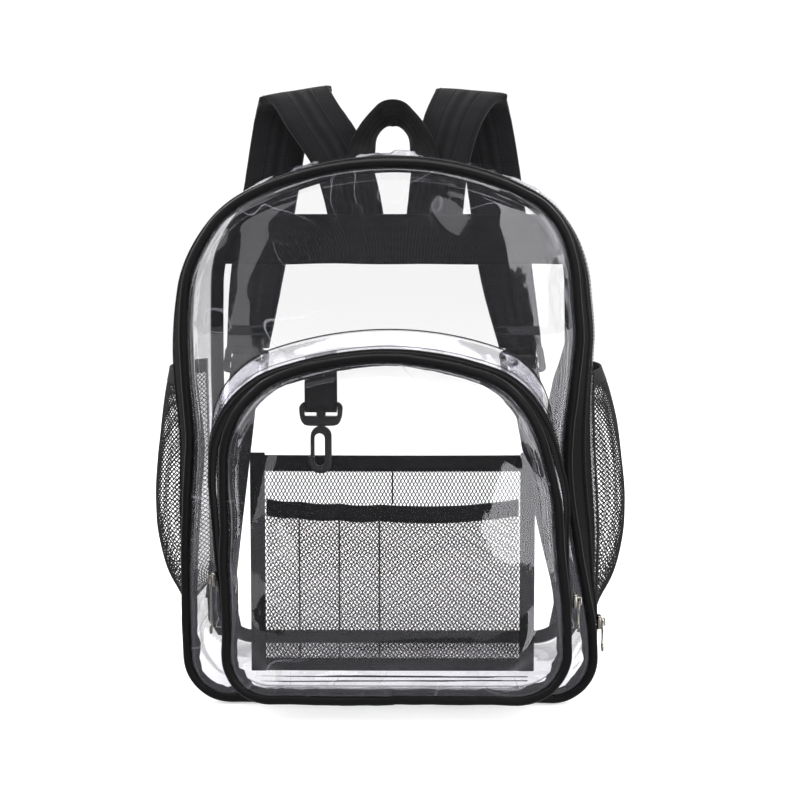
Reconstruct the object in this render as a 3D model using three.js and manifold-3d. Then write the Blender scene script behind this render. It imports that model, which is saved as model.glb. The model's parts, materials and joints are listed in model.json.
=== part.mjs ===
// Clear PVC backpack with a front pocket, side net pockets, shoulder straps and a key hook.
// Millimetres, +Z up, the front faces -Y, +X is to the right as seen from the front.
import * as THREE from "three";
import { mergeVertices } from "three/addons/utils/BufferGeometryUtils.js";
import Module from "manifold-3d";

const manifold = await Module();
manifold.setup();

// Sheets and seams
const WALL = 1.2;
const NET = 1.0;
const TAPE = 1.2;
const SEAM = 0.35;
const LEFT = -1;
const RIGHT = 1;

// Main compartment
const DEPTH = 150;
const FRONT = -75;
const BACK = FRONT + DEPTH;
const MAIN = { half: 156, base: 4, top: 421, corner: 32, shoulder: 79, crown: 250, sideSteps: 6 };
const FRONT_CROWN = 5;
const BACK_CROWN = 4;
const FRONT_DENTS = [
  { side: LEFT, z: 284, push: 8.5, reach: 88 },
  { side: LEFT, z: 110, push: 5.5, reach: 190 },
  { side: RIGHT, z: 355, push: -10.5, reach: 75 },
  { side: RIGHT, z: 240, push: -8.5, reach: 125 },
];
// The front seam is also drawn in by itself, over the part of the depth next to it
const SEAM_DENTS = [
  { side: LEFT, z: 250, push: -3, reach: 160 },
  { side: RIGHT, z: 170, push: -15, reach: 130 },
];
const SEAM_REACH = 0.25;

// How far the gusset stands out from the front seam, by its share of the depth
const GUSSET = [
  { share: 0.0257, side: 1.5, top: 1.5, base: 1.0, dent: 1.0 },
  { share: 0.1, side: 5.0, top: 4.0, base: 3.4, dent: 0.95 },
  { share: 0.22, side: 8.5, top: 6.5, base: 3.4, dent: 0.85 },
  { share: 0.45, side: 11.0, top: 10.0, base: 3.4, dent: 0.55 },
  { share: 0.7, side: 10.0, top: 11.0, base: 3.4, dent: 0.3 },
  { share: 0.9, side: 7.0, top: 10.5, base: 3.4, dent: 0.15 },
  { share: 1.0, side: 4.5, top: 9.5, base: 1.0, dent: 0.1 },
];
const GUSSET_END = 0.988;
const ZIP_SHARE = { near: 0.0257, far: 0.215, coil: 0.125 };
const FULL_HEIGHT = { z: 270, reach: 260, least: 0.55 };

// Piping cord with its sewn flange, and the flat binding of the back seam
const PIPING = { radius: 3.5, tail: 11, tailNear: 0.95, tailFar: 2.15, sides: 7 };
const BINDING = { inner: -10.5, outer: 1, half: 1.4, bevel: 0.6 };
const COIL = { width: 3.6, height: 1.6 };

// Front pocket
const POCKET_FACE_Y = -120;
const POCKET_CROWN = 9;
const POCKET_FACE = { half: 131, base: 18, top: 276, corner: 38, shoulder: 67, crown: 270, sideSteps: 6 };
const POCKET_FOOT = { half: 136, base: 15, top: 294, corner: 40, shoulder: 70, crown: 270, sideSteps: 6 };
const POCKET_DENTS = [
  { side: LEFT, z: 245, push: 4, reach: 80 },
  { side: RIGHT, z: 238, push: -9, reach: 85 },
  { side: LEFT, z: 60, push: -7, reach: 70 },
];
const FACE_DENTS = [
  { side: LEFT, z: 145, push: -6.5, reach: 90 },
  { side: LEFT, z: 240, push: -10, reach: 70 },
  { side: RIGHT, z: 160, push: -7, reach: 85 },
  { side: RIGHT, z: 240, push: -10, reach: 75 },
];
const FOOT_DENTS = [{ side: RIGHT, z: 165, push: -8, reach: 110 }];
const POCKET_SPAN = { near: 0.0085, zip: 0.52, coil: 0.72, far: 0.911 };
const POCKET_BULGE = { side: 3, top: -4 };

// Steps round the outlines
const CORNER_STEPS = 4;
const SHOULDER_STEPS = 5;
const CROWN_STEPS = 4;
const APEX_GAP = 0.04;
const MAIN_ZIP_FROM = CORNER_STEPS;
const POCKET_ZIP_FROM = CORNER_STEPS + 1;

// Side net pockets
const NET_POCKET = { near: 0.25, far: 0.95, base: 62, top: 258, hem: 11, hemThick: 2 };
const NET_BULGE = { left: 30.5, right: 27 };
const NET_STEPS = { across: 9, up: 8 };
const NET_RISE = [
  { at: 0, out: 0 },
  { at: 0.06, out: 0.46 },
  { at: 0.16, out: 0.8 },
  { at: 0.32, out: 1 },
  { at: 0.52, out: 0.98 },
  { at: 0.75, out: 0.78 },
  { at: 0.9, out: 0.56 },
  { at: 1, out: 0.42 },
];

// Organizer on the back wall of the front pocket
const ORGANIZER = { half: 110, base: 27, top: 197, sideBand: 11.5, topBand: 12.5, baseBand: 10, thick: 1.9 };
const HEM = { base: 151, top: 163, thick: 1.6, sag: 4 };
const POUCH_NET = 0.8;
const POUCH_SEAMS = [
  { from: -97, to: -72, bulge: 4, steps: 3 },
  { from: -72, to: -41, bulge: 5, steps: 3 },
  { from: -41, to: -10, bulge: 5, steps: 3 },
  { from: -10, to: 97, bulge: 9, steps: 6 },
];

// Back yoke
const YOKE = { base: 340, top: 384, thick: 1.6, margin: 2.5 };

// Shoulder straps: middle line of each, distance behind the back seam, width and thickness
const STRAP_STEPS = 22;
const STRAP = [
  { left: -34, right: 35, behind: 10.2, z: 350, width: 48, thick: 5 },
  { left: -35, right: 35.5, behind: 11.4, z: 384, width: 49, thick: 6 },
  { left: -48, right: 41, behind: 21.5, z: 430, width: 50, thick: 10 },
  { left: -73, right: 53, behind: 29, z: 471, width: 50, thick: 11 },
  { left: -90, right: 69, behind: 44, z: 492, width: 50, thick: 11 },
  { left: -103, right: 80, behind: 62, z: 472, width: 50, thick: 11 },
  { left: -114, right: 91, behind: 63, z: 410, width: 50, thick: 11 },
  { left: -126, right: 101, behind: 47, z: 330, width: 48, thick: 10 },
  { left: -133, right: 113, behind: 30, z: 264, width: 38, thick: 8 },
];
const WEB_STEPS = 10;
const WEB = [
  { left: -135.5, right: 116.5, behind: 24.5, z: 240, width: 26, thick: 1.8 },
  { left: -141, right: 125, behind: 17, z: 185, width: 26, thick: 1.8 },
  { left: -150, right: 141, behind: 9.5, z: 105, width: 26, thick: 1.8 },
  { left: -157, right: 157, behind: 4.65, z: 40, width: 26, thick: 1.8 },
];
const BUCKLE = { width: 40, height: 23.6, thick: 4, slot: 28, bar: 4.2, corner: 4 };
const ANCHOR = { behind: 2.55, thick: 1.6 };
const ANCHOR_POINTS = [
  { x: 136, z: 8 },
  { x: 158, z: 8 },
  { x: 167, z: 22 },
  { x: 168, z: 56 },
  { x: 146, z: 60 },
];

// Carrying handle: middle line, distance behind the back seam and the way its width runs
const HANDLE = { width: 25, thick: 2 };
const HANDLE_X = -2;
const HANDLE_STEPS = 22;
const HANDLE_HALF = [
  { x: -23, behind: 6.3, z: 350, across: 1, back: 0, down: 0 },
  { x: -25, behind: 5.6, z: 386, across: 1, back: 0, down: 0 },
  { x: -28.5, behind: 7, z: 410, across: 1, back: 0.05, down: 0 },
  { x: -28, behind: 8.5, z: 434, across: 0.97, back: 0.2, down: 0.05 },
  { x: -22, behind: 11, z: 455, across: 0.5, back: 0.65, down: 0.5 },
  { x: -11, behind: 14.5, z: 469, across: 0.1, back: 0.6, down: 0.8 },
  { x: 0, behind: 14.5, z: 473, across: 0, back: 0.37, down: 0.93 },
];

// Key hook on its strap
const KEY = { x: -54, y: -94, strapTop: 276.85, strapWidth: 24, strapThick: 1.5, slope: 0.2 };
const HOOK_BASE = { width: 33, foot: 19, height: 18, thick: 6.8, corner: 5, z: 231 };
const HOOK_SLOT = { width: 25, height: 8, up: 2.2 };
const SWIVEL = { post: 2, hole: 2.4, head: 3.6, headHeight: 2.4, sides: 12 };
const HOOK = { width: 16, height: 36, thick: 4.6, gate: 3, arm: 5.2, base: 5.4, corner: 7.6, mouth: 0.7 };
const HOOK_STEM_GAP = 0.4;
const HOOK_KNOB = { width: 3.4, height: 6, thick: 3.4, down: 8 };

// Zip sliders with their pulls
const SLIDER = { width: 8, height: 11, thick: 3, corner: 2.2 };
const BRIDGE = { width: 2, leg: 1.4, reach: 3.3, stand: 3.6, gap: 2.2 };
const PULL = { thick: 1.3, bar: 1.3, width: 6.4, stem: 2.6, ring: 4.2, eye: 2.2 };
const PULL_WINDOW = { width: 3.4, height: 4.6 };
const PULL_LONG = 42;
const PULL_SHORT = 24;

// Colours and finishes
const CLEAR = { color: 0xe6ecef, roughness: 0.08, metalness: 0, transparent: true, opacity: 0.3 };
const CORD_BLACK = { color: 0x161616, roughness: 0.45, metalness: 0 };
const CLOTH_BLACK = { color: 0x1b1b1c, roughness: 0.9, metalness: 0 };
const NET_BLACK = { color: 0x242426, roughness: 0.85, metalness: 0 };
const PLASTIC_BLACK = { color: 0x131313, roughness: 0.35, metalness: 0 };
const NICKEL = { color: 0xb9b6ae, roughness: 0.25, metalness: 1 };

const group = new THREE.Group();
group.name = "clear_backpack";

function add(name, geometry, finish) {
  const mesh = new THREE.Mesh(geometry, new THREE.MeshStandardMaterial(finish));
  mesh.name = name;
  group.add(mesh);
}

// Closed solid from points and triangles, with its faces turned outward
function solid(points, triangles) {
  const volume = triangles.reduce((sum, [a, b, c]) => {
    const cross = new THREE.Vector3().crossVectors(points[b], points[c]);
    return sum + points[a].dot(cross);
  }, 0);
  const faces = volume < 0 ? triangles.map(([a, b, c]) => [a, c, b]) : triangles;
  const geometry = new THREE.BufferGeometry().setFromPoints(points);
  geometry.setIndex(faces.flat());
  geometry.computeVertexNormals();
  return geometry;
}

// Even sheet round a grid of middle points, thickened both ways along its facing
function sheet(grid, facing, thickness) {
  const rows = grid.length;
  const columns = grid[0].length;
  const points = [1, -1].flatMap((way) => grid.flatMap((line, r) => line.map((point, c) => {
    return point.clone().addScaledVector(facing(r, c), way * thickness / 2);
  })));
  const at = (layer, r, c) => (layer * rows + r) * columns + c;
  const triangles = [];
  const quad = (a, b, c, d) => triangles.push([a, b, c], [a, c, d]);
  for (let r = 0; r < rows - 1; r += 1) {
    for (let c = 0; c < columns - 1; c += 1) {
      quad(at(0, r, c), at(0, r, c + 1), at(0, r + 1, c + 1), at(0, r + 1, c));
      quad(at(1, r, c), at(1, r + 1, c), at(1, r + 1, c + 1), at(1, r, c + 1));
    }
    quad(at(0, r, 0), at(0, r + 1, 0), at(1, r + 1, 0), at(1, r, 0));
    quad(at(0, r, columns - 1), at(1, r, columns - 1), at(1, r + 1, columns - 1), at(0, r + 1, columns - 1));
  }
  for (let c = 0; c < columns - 1; c += 1) {
    quad(at(0, 0, c), at(1, 0, c), at(1, 0, c + 1), at(0, 0, c + 1));
    quad(at(0, rows - 1, c), at(0, rows - 1, c + 1), at(1, rows - 1, c + 1), at(1, rows - 1, c));
  }
  return solid(points, triangles);
}

// Tube through a run of equal sections, joined end to end or capped
function tube(sections, joined) {
  const count = sections.length;
  const sides = sections[0].length;
  const at = (i, j) => (i % count) * sides + (j % sides);
  const triangles = [];
  const spans = joined ? count : count - 1;
  for (let i = 0; i < spans; i += 1) {
    for (let j = 0; j < sides; j += 1) {
      triangles.push([at(i, j), at(i + 1, j), at(i + 1, j + 1)], [at(i, j), at(i + 1, j + 1), at(i, j + 1)]);
    }
  }
  if (!joined) {
    for (let j = 1; j < sides - 1; j += 1) {
      triangles.push([at(0, 0), at(0, j), at(0, j + 1)]);
      triangles.push([at(count - 1, 0), at(count - 1, j + 1), at(count - 1, j)]);
    }
  }
  return solid(sections.flat(), triangles);
}

function bell(t) {
  return Math.abs(t) < 1 ? (1 - t * t) ** 2 : 0;
}

function span(from, to, steps) {
  return Array.from({ length: steps + 1 }, (_, i) => THREE.MathUtils.lerp(from, to, i / steps));
}

// Value of a column between the rows of a table
function between(table, key, column, at) {
  const next = Math.max(1, table.findIndex((row) => row[key] >= at));
  const [low, high] = [table[next - 1], table[next]];
  const part = THREE.MathUtils.clamp((at - low[key]) / (high[key] - low[key]), 0, 1);
  return THREE.MathUtils.lerp(low[column], high[column], part);
}

// Right half of an arched outline, from the base up to the apex
function halfArch({ half, base, top, corner, shoulder, crown, sideSteps }) {
  const rise = Math.sqrt((crown - shoulder) ** 2 - (half - shoulder) ** 2);
  const turn = Math.atan2(rise, half - shoulder);
  const spring = top - crown + rise;
  const side = [new THREE.Vector2(half, base + corner), new THREE.Vector2(half, spring)];
  const runs = [
    [new THREE.EllipseCurve(half - corner, base + corner, corner, corner, -Math.PI / 2, 0), CORNER_STEPS],
    [new THREE.LineCurve(...side), sideSteps],
    [new THREE.EllipseCurve(half - shoulder, spring, shoulder, shoulder, 0, turn), SHOULDER_STEPS],
    [new THREE.EllipseCurve(0, top - crown, crown, crown, turn, Math.PI / 2 - APEX_GAP), CROWN_STEPS],
  ];
  return runs.flatMap(([curve, steps], k) => curve.getPoints(steps).slice(k > 0 ? 1 : 0));
}

function dentAt(dents, side, z) {
  const rows = dents.filter((row) => row.side === side);
  return side * rows.reduce((sum, row) => sum + row.push * bell((z - row.z) / row.reach), 0);
}

// Whole outline: up the right side and down the left, each stop with its outward direction
function loopOf(size, dents) {
  const rows = halfArch(size);
  const stops = (side) => rows.map((p) => ({ x: side * p.x, z: p.y, dent: dentAt(dents, side, p.y) }));
  const loop = [...stops(RIGHT), ...stops(LEFT).reverse()];
  const step = (a, b) => new THREE.Vector2(b.x - a.x, b.z - a.z).normalize();
  return loop.map((stop, i) => {
    const before = loop[(i + loop.length - 1) % loop.length];
    const after = loop[(i + 1) % loop.length];
    const along = step(before, stop).add(step(stop, after)).normalize();
    const onBase = stop.z - size.base < SEAM;
    return { ...stop, nx: onBase ? 0 : along.y, nz: onBase ? -1 : -along.x };
  });
}

// Upper and lower runs of an outline that meet where a zip ends, drawn back by a seam at both ends
function drawnBack(stops) {
  const pull = (stop, toward) => {
    const length = Math.hypot(toward.x - stop.x, toward.z - stop.z);
    const part = SEAM / 2 / length;
    const mix = (key) => THREE.MathUtils.lerp(stop[key], toward[key], part);
    return { ...stop, x: mix("x"), z: mix("z"), dent: mix("dent") };
  };
  const ends = [pull(stops[0], stops[1]), pull(stops.at(-1), stops.at(-2))];
  return [ends[0], ...stops.slice(1, -1), ends[1]];
}

function upperRun(loop, from) {
  return drawnBack(loop.slice(from, loop.length - from));
}

function lowerRun(loop, from) {
  return drawnBack([...loop.slice(loop.length - 1 - from), ...loop.slice(0, from + 1)]);
}

const mainLoop = loopOf(MAIN, [...FRONT_DENTS, ...SEAM_DENTS]);
const faceLoop = loopOf(POCKET_FACE, [...POCKET_DENTS, ...FACE_DENTS]);
const footLoop = loopOf(POCKET_FOOT, [...POCKET_DENTS, ...FOOT_DENTS]);

function fullness(z) {
  return FULL_HEIGHT.least + (1 - FULL_HEIGHT.least) * bell((z - FULL_HEIGHT.z) / FULL_HEIGHT.reach);
}

function seamDent(side, z, share) {
  return dentAt(SEAM_DENTS, side, z) * Math.max(0, 1 - share / SEAM_REACH);
}

// Point of the main gusset at a stop of the outline and a share of the depth
function gussetPoint(stop, share, lift = 0) {
  const bowed = stop.nx ** 2 * between(GUSSET, "share", "side", share) * fullness(stop.z);
  const level = stop.nz ** 2 * between(GUSSET, "share", stop.nz > 0 ? "top" : "base", share);
  const out = lift + bowed + level;
  const side = Math.sign(stop.x);
  const through = stop.dent - seamDent(side, stop.z, 0);
  const dent = through * between(GUSSET, "share", "dent", share) + seamDent(side, stop.z, share);
  return new THREE.Vector3(stop.x + dent + stop.nx * out, FRONT + share * DEPTH, stop.z + stop.nz * out);
}

function gussetStrip(stops, shares, thickness) {
  const grid = stops.map((stop) => shares.map((share) => gussetPoint(stop, share)));
  return sheet(grid, (r) => new THREE.Vector3(stops[r].nx, 0, stops[r].nz), thickness);
}

// Front and back panels bulge out of their seam planes
function bulgeOf(x, z, { half, base, top }) {
  const middle = (base + top) / 2;
  const up = 1 - ((z - middle) / (top - middle)) ** 2;
  return Math.max(0, 1 - (x / half) ** 2) * Math.max(0, up);
}

function frontY(x, z) {
  return FRONT - FRONT_CROWN * bulgeOf(x, z, MAIN);
}

function backY(x, z) {
  return BACK + BACK_CROWN * bulgeOf(x, z, MAIN);
}

// Panel between the two sides of a loop, set in from its seam
function panel(loop, inset, columns, depthAt) {
  const edge = ({ x, z, dent, nx, nz }) => ({ x: x + dent - nx * inset, z: z - nz * inset });
  const grid = loop.slice(0, loop.length / 2).map((stop, k) => {
    const right = edge(stop);
    const left = edge(loop[loop.length - 1 - k]);
    return span(0, 1, columns).map((part) => {
      const x = THREE.MathUtils.lerp(left.x, right.x, part);
      const z = THREE.MathUtils.lerp(left.z, right.z, part);
      return new THREE.Vector3(x, depthAt(x, z), z);
    });
  });
  return sheet(grid, () => new THREE.Vector3(0, 1, 0), WALL);
}

// Keyhole section of the piping: a round cord and the flange sewn in behind the panel
function pipingSection() {
  const { radius, tail, tailNear, tailFar, sides } = PIPING;
  const from = Math.PI - Math.asin(tailFar / radius);
  const to = -Math.PI - Math.asin(tailNear / radius);
  const round = span(from, to, sides).map((a) => ({ out: radius * Math.cos(a), deep: radius * Math.sin(a) }));
  return [...round, { out: -tail, deep: tailNear }, { out: -tail, deep: tailFar }];
}

function pipingLoop(loop, planeY) {
  const section = pipingSection();
  return tube(loop.map(({ x, z, dent, nx, nz }) => section.map(({ out, deep }) => {
    return new THREE.Vector3(x + dent + nx * out, planeY + deep, z + nz * out);
  })), true);
}

function coilAlong(stops, pointAt) {
  const { width, height } = COIL;
  const section = [[-0.5, 0], [-0.3, 1], [0.3, 1], [0.5, 0]];
  return tube(stops.map((stop) => section.map(([along, up]) => {
    return pointAt(stop, along * width, up * height);
  })), false);
}

// Main compartment
const panelInset = PIPING.radius + SEAM;
const upperMain = upperRun(mainLoop, MAIN_ZIP_FROM);
const lowerMain = lowerRun(mainLoop, MAIN_ZIP_FROM);
const seamShare = SEAM / DEPTH;
const behindZip = GUSSET.map((row) => row.share).filter((share) => share > ZIP_SHARE.far + seamShare);
const rearShares = [ZIP_SHARE.far + seamShare, ...behindZip.slice(1, -1), GUSSET_END];
const fullShares = [...GUSSET.map((row) => row.share).slice(0, -1), GUSSET_END];

add("front_panel", panel(mainLoop, panelInset, 6, frontY), CLEAR);
add("front_piping", pipingLoop(mainLoop, FRONT), CORD_BLACK);
const underCoil = [-0.5, 0.5].map((part) => ZIP_SHARE.coil + part * (COIL.width + SEAM) / DEPTH);
const zipShares = [ZIP_SHARE.near, ...underCoil, ZIP_SHARE.far];
add("main_zip_tape", gussetStrip(upperMain, zipShares, TAPE), CLOTH_BLACK);
add("main_zip_coil", coilAlong(upperMain, (stop, along, up) => {
  return gussetPoint(stop, ZIP_SHARE.coil + along / DEPTH, TAPE / 2 + 1.5 * SEAM + up);
}), PLASTIC_BLACK);
add("zip_gusset", gussetStrip(upperMain, rearShares, WALL), CLEAR);
add("base_gusset", gussetStrip(lowerMain, fullShares, WALL), CLEAR);

// Back seam with its binding, and the panel inside it
const backLoop = mainLoop.map((stop) => {
  const { x, z } = gussetPoint(stop, 1);
  return { ...stop, x, z, dent: 0 };
});
const bindingSection = [
  [BINDING.inner, BINDING.bevel - BINDING.half],
  [BINDING.inner, BINDING.half],
  [BINDING.outer - BINDING.bevel, BINDING.half],
  [BINDING.outer, BINDING.half - BINDING.bevel],
  [BINDING.outer, BINDING.bevel - BINDING.half],
  [BINDING.outer - BINDING.bevel, -BINDING.half],
  [BINDING.inner + BINDING.bevel, -BINDING.half],
];
add("back_panel", panel(backLoop, SEAM - BINDING.inner, 6, backY), CLEAR);
add("back_binding", tube(backLoop.map(({ x, z, nx, nz }) => bindingSection.map(([out, deep]) => {
  return new THREE.Vector3(x + nx * out, BACK + deep, z + nz * out);
})), true), CLOTH_BLACK);

// Half width of the back panel at a height
function backHalf(z) {
  const rows = backLoop.slice(0, backLoop.length / 2).filter((stop) => stop.z > MAIN.base + MAIN.corner);
  return between(rows, "z", "x", z) + BINDING.inner;
}

const yokeGrid = [YOKE.base, (YOKE.base + YOKE.top) / 2, YOKE.top].map((z) => {
  const half = backHalf(z) - YOKE.margin;
  return span(-half, half, 10).map((x) => {
    return new THREE.Vector3(x, backY(x, z) + WALL / 2 + SEAM + YOKE.thick / 2, z);
  });
});
add("yoke", sheet(yokeGrid, () => new THREE.Vector3(0, 1, 0), YOKE.thick), CLOTH_BLACK);

// Band with chamfered edges through rows of a table, its width kept as level as the path lets it
function band(rows, steps, acrossAt) {
  const points = rows.map(({ x, behind, z }) => new THREE.Vector3(x, BACK + behind, z));
  const middle = new THREE.CatmullRomCurve3(points);
  return tube(span(0, 1, steps).map((t) => {
    const place = t * (rows.length - 1);
    const low = rows[Math.min(Math.floor(place), rows.length - 2)];
    const high = rows[rows.indexOf(low) + 1];
    const mix = (key) => THREE.MathUtils.lerp(low[key], high[key], place - rows.indexOf(low));
    const along = middle.getTangent(t);
    const across = acrossAt(mix);
    across.addScaledVector(along, -across.dot(along)).normalize();
    const up = new THREE.Vector3().crossVectors(along, across);
    const [w, h] = [mix("width") / 2, mix("thick") / 2];
    const c = h * 0.6;
    const half = [[w, c - h], [w, h - c], [w - c, h], [c - w, h]];
    const section = [...half, ...half.map(([a, b]) => [-a, -b])];
    return section.map(([a, b]) => {
      return middle.getPoint(t).addScaledVector(across, a).addScaledVector(up, b);
    });
  }), false);
}

const level = () => new THREE.Vector3(1, 0, 0);
const oneSide = (rows, word) => rows.map((row) => ({ ...row, x: row[word] }));

// Handle: up one leg, over the apex with its inner face to the front, and down the other leg
const handleRows = [
  ...HANDLE_HALF,
  ...HANDLE_HALF.slice(0, -1).reverse().map((row) => ({ ...row, x: -row.x, across: -row.across })),
].map((row) => ({ ...row, ...HANDLE, x: row.x + HANDLE_X }));
add("handle", band(handleRows, HANDLE_STEPS, (mix) => {
  return new THREE.Vector3(mix("across"), mix("back"), -mix("down"));
}), CLOTH_BLACK);

// Outlines in a plane, drawn out to a thickness about the plane and set upright facing the front
function roundedBox(width, height, corner) {
  const shape = new THREE.Shape();
  const [x, y] = [width / 2 - corner, height / 2 - corner];
  shape.absarc(x, y, corner, 0, Math.PI / 2);
  shape.absarc(-x, y, corner, Math.PI / 2, Math.PI);
  shape.absarc(-x, -y, corner, Math.PI, Math.PI * 1.5);
  shape.absarc(x, -y, corner, Math.PI * 1.5, Math.PI * 2);
  return shape;
}

function plate(shape, thickness, curveSegments = 4) {
  const geometry = new THREE.ExtrudeGeometry(shape, { depth: thickness, bevelEnabled: false, curveSegments });
  geometry.translate(0, 0, -thickness / 2);
  geometry.rotateX(Math.PI / 2);
  return geometry;
}

function hole(width, height, x, y) {
  const path = new THREE.Path();
  path.moveTo(x - width / 2, y - height / 2);
  path.lineTo(x - width / 2, y + height / 2);
  path.lineTo(x + width / 2, y + height / 2);
  path.lineTo(x + width / 2, y - height / 2);
  return path;
}

// Joining and cutting of closed solids
function toManifold(geometry) {
  const bare = geometry.clone();
  bare.deleteAttribute("normal");
  bare.deleteAttribute("uv");
  const merged = mergeVertices(bare, 1e-5);
  const mesh = new manifold.Mesh({
    numProp: 3,
    vertProperties: new Float32Array(merged.attributes.position.array),
    triVerts: new Uint32Array(merged.index.array),
  });
  mesh.merge();
  return new manifold.Manifold(mesh);
}

function fromManifold(body) {
  const mesh = body.getMesh();
  const geometry = new THREE.BufferGeometry();
  geometry.setAttribute("position", new THREE.BufferAttribute(mesh.vertProperties, 3));
  geometry.setIndex(new THREE.BufferAttribute(mesh.triVerts, 1));
  geometry.computeVertexNormals();
  return geometry;
}

function joined(...parts) {
  return fromManifold(parts.map(toManifold).reduce((sum, part) => sum.add(part)));
}

function cut(whole, ...tools) {
  return fromManifold(tools.map(toManifold).reduce((rest, tool) => rest.subtract(tool), toManifold(whole)));
}

// Shoulder straps, adjusters, lower webbing and its sewn corners
function buckle(word) {
  const shape = roundedBox(BUCKLE.width, BUCKLE.height, BUCKLE.corner);
  const gap = (BUCKLE.height - 3 * BUCKLE.bar) / 2;
  const up = (gap + BUCKLE.bar) / 2;
  shape.holes.push(hole(BUCKLE.slot, gap, 0, up), hole(BUCKLE.slot, gap, 0, -up));
  const [top, low] = [STRAP.at(-1), WEB[0]];
  const geometry = plate(shape, BUCKLE.thick);
  const run = new THREE.Vector3(top[word] - low[word], top.behind - low.behind, top.z - low.z).normalize();
  geometry.applyQuaternion(new THREE.Quaternion().setFromUnitVectors(new THREE.Vector3(0, 0, 1), run));
  const middle = [word, "behind", "z"].map((key) => (top[key] + low[key]) / 2);
  return geometry.translate(middle[0], BACK + middle[1], middle[2]);
}

function anchor(side) {
  const corners = ANCHOR_POINTS.map(({ x, z }) => new THREE.Vector2(side * x, z));
  const shape = new THREE.Shape(side > 0 ? corners : corners.reverse());
  return plate(shape, ANCHOR.thick).translate(0, BACK + ANCHOR.behind, 0);
}

for (const [word, side] of [["left", LEFT], ["right", RIGHT]]) {
  add(`strap_${word}`, band(oneSide(STRAP, word), STRAP_STEPS, level), CLOTH_BLACK);
  add(`strap_buckle_${word}`, buckle(word), PLASTIC_BLACK);
  add(`strap_web_${word}`, band(oneSide(WEB, word), WEB_STEPS, level), CLOTH_BLACK);
  add(`strap_anchor_${word}`, anchor(side), CLOTH_BLACK);
}

// Side net pockets: sewn to the gusset along three edges, open at the top
function sideX(side, z, share) {
  const dent = dentAt(FRONT_DENTS, side, z) * between(GUSSET, "share", "dent", share) + seamDent(side, z, share);
  const out = between(GUSSET, "share", "side", share) * fullness(z);
  return side * (MAIN.half + out) + dent;
}

function netGrid(side, fromZ, toZ, steps) {
  const { near, far, base, top } = NET_POCKET;
  const bulge = side === LEFT ? NET_BULGE.left : NET_BULGE.right;
  return span(fromZ, toZ, steps).map((z) => span(near, far, NET_STEPS.across).map((share) => {
    const round = Math.sin(Math.PI * (share - near) / (far - near));
    const out = WALL / 2 + SEAM + NET_POCKET.hemThick / 2 + bulge * round
      * between(NET_RISE, "at", "out", (z - base) / (top - base));
    return new THREE.Vector3(sideX(side, z, share) + side * out, FRONT + share * DEPTH, z);
  }));
}

const outward = () => new THREE.Vector3(1, 0, 0);
const hemLine = NET_POCKET.top - NET_POCKET.hem;
for (const [word, side] of [["left", LEFT], ["right", RIGHT]]) {
  const net = netGrid(side, NET_POCKET.base, hemLine - SEAM, NET_STEPS.up);
  add(`mesh_pocket_${word}`, sheet(net, outward, NET), NET_BLACK);
  const hem = netGrid(side, hemLine, NET_POCKET.top, 1);
  add(`mesh_hem_${word}`, sheet(hem, outward, NET_POCKET.hemThick), CLOTH_BLACK);
}

// Front pocket: its gusset runs from the foot line on the front panel to the face seam
function pocketPoint(index, share, lift = 0) {
  const [foot, face] = [footLoop[index], faceLoop[index]];
  const mix = (key) => THREE.MathUtils.lerp(foot[key], face[key], share);
  const bulge = THREE.MathUtils.lerp(POCKET_BULGE.side, POCKET_BULGE.top, Math.max(0, face.nz) ** 2);
  const out = lift + bulge * 4 * share * (1 - share);
  const [x, z] = [mix("x") + mix("dent") + mix("nx") * out, mix("z") + mix("nz") * out];
  const near = frontY(foot.x + foot.dent, foot.z) - WALL / 2;
  return new THREE.Vector3(x, THREE.MathUtils.lerp(near, POCKET_FACE_Y, share), z);
}

function pocketStrip(indices, shares, thickness) {
  const grid = indices.map((index) => shares.map((share) => pocketPoint(index, share)));
  const last = grid.length - 1;
  shares.forEach((_, c) => {
    for (const [end, next] of [[0, 1], [last, last - 1]]) {
      const part = SEAM / 2 / grid[end][c].distanceTo(grid[next][c]);
      grid[end][c].lerp(grid[next][c], part);
    }
  });
  const facing = (r) => new THREE.Vector3(faceLoop[indices[r]].nx, 0, faceLoop[indices[r]].nz);
  return sheet(grid, facing, thickness);
}

const count = faceLoop.length;
const order = [...faceLoop.keys()];
const upperPocket = order.slice(POCKET_ZIP_FROM, count - POCKET_ZIP_FROM);
const lowerPocket = [...order.slice(count - 1 - POCKET_ZIP_FROM), ...order.slice(0, POCKET_ZIP_FROM + 1)];
const zipSeam = SEAM / (FRONT - POCKET_FACE_Y);
const { near: footShare, zip: zipShare, far: faceShare, coil: coilShare } = POCKET_SPAN;

function pocketY(x, z) {
  return POCKET_FACE_Y - POCKET_CROWN * bulgeOf(x, z, POCKET_FACE);
}

add("pocket_front", panel(faceLoop, panelInset, 6, pocketY), CLEAR);
add("pocket_piping", pipingLoop(faceLoop, POCKET_FACE_Y), CORD_BLACK);
const pocketZipShares = [zipShare + zipSeam, coilShare, faceShare];
add("pocket_zip_tape", pocketStrip(upperPocket, pocketZipShares, TAPE), CLOTH_BLACK);
add("pocket_zip_coil", coilAlong(upperPocket, (index, along, up) => {
  return pocketPoint(index, coilShare + along / (FRONT - POCKET_FACE_Y), TAPE / 2 + SEAM + up);
}), PLASTIC_BLACK);
add("pocket_gusset", pocketStrip(upperPocket, [footShare, zipShare / 2, zipShare], WALL), CLEAR);
add("pocket_base", pocketStrip(lowerPocket, [footShare, zipShare / 2, zipShare, faceShare], WALL), CLEAR);

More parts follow.
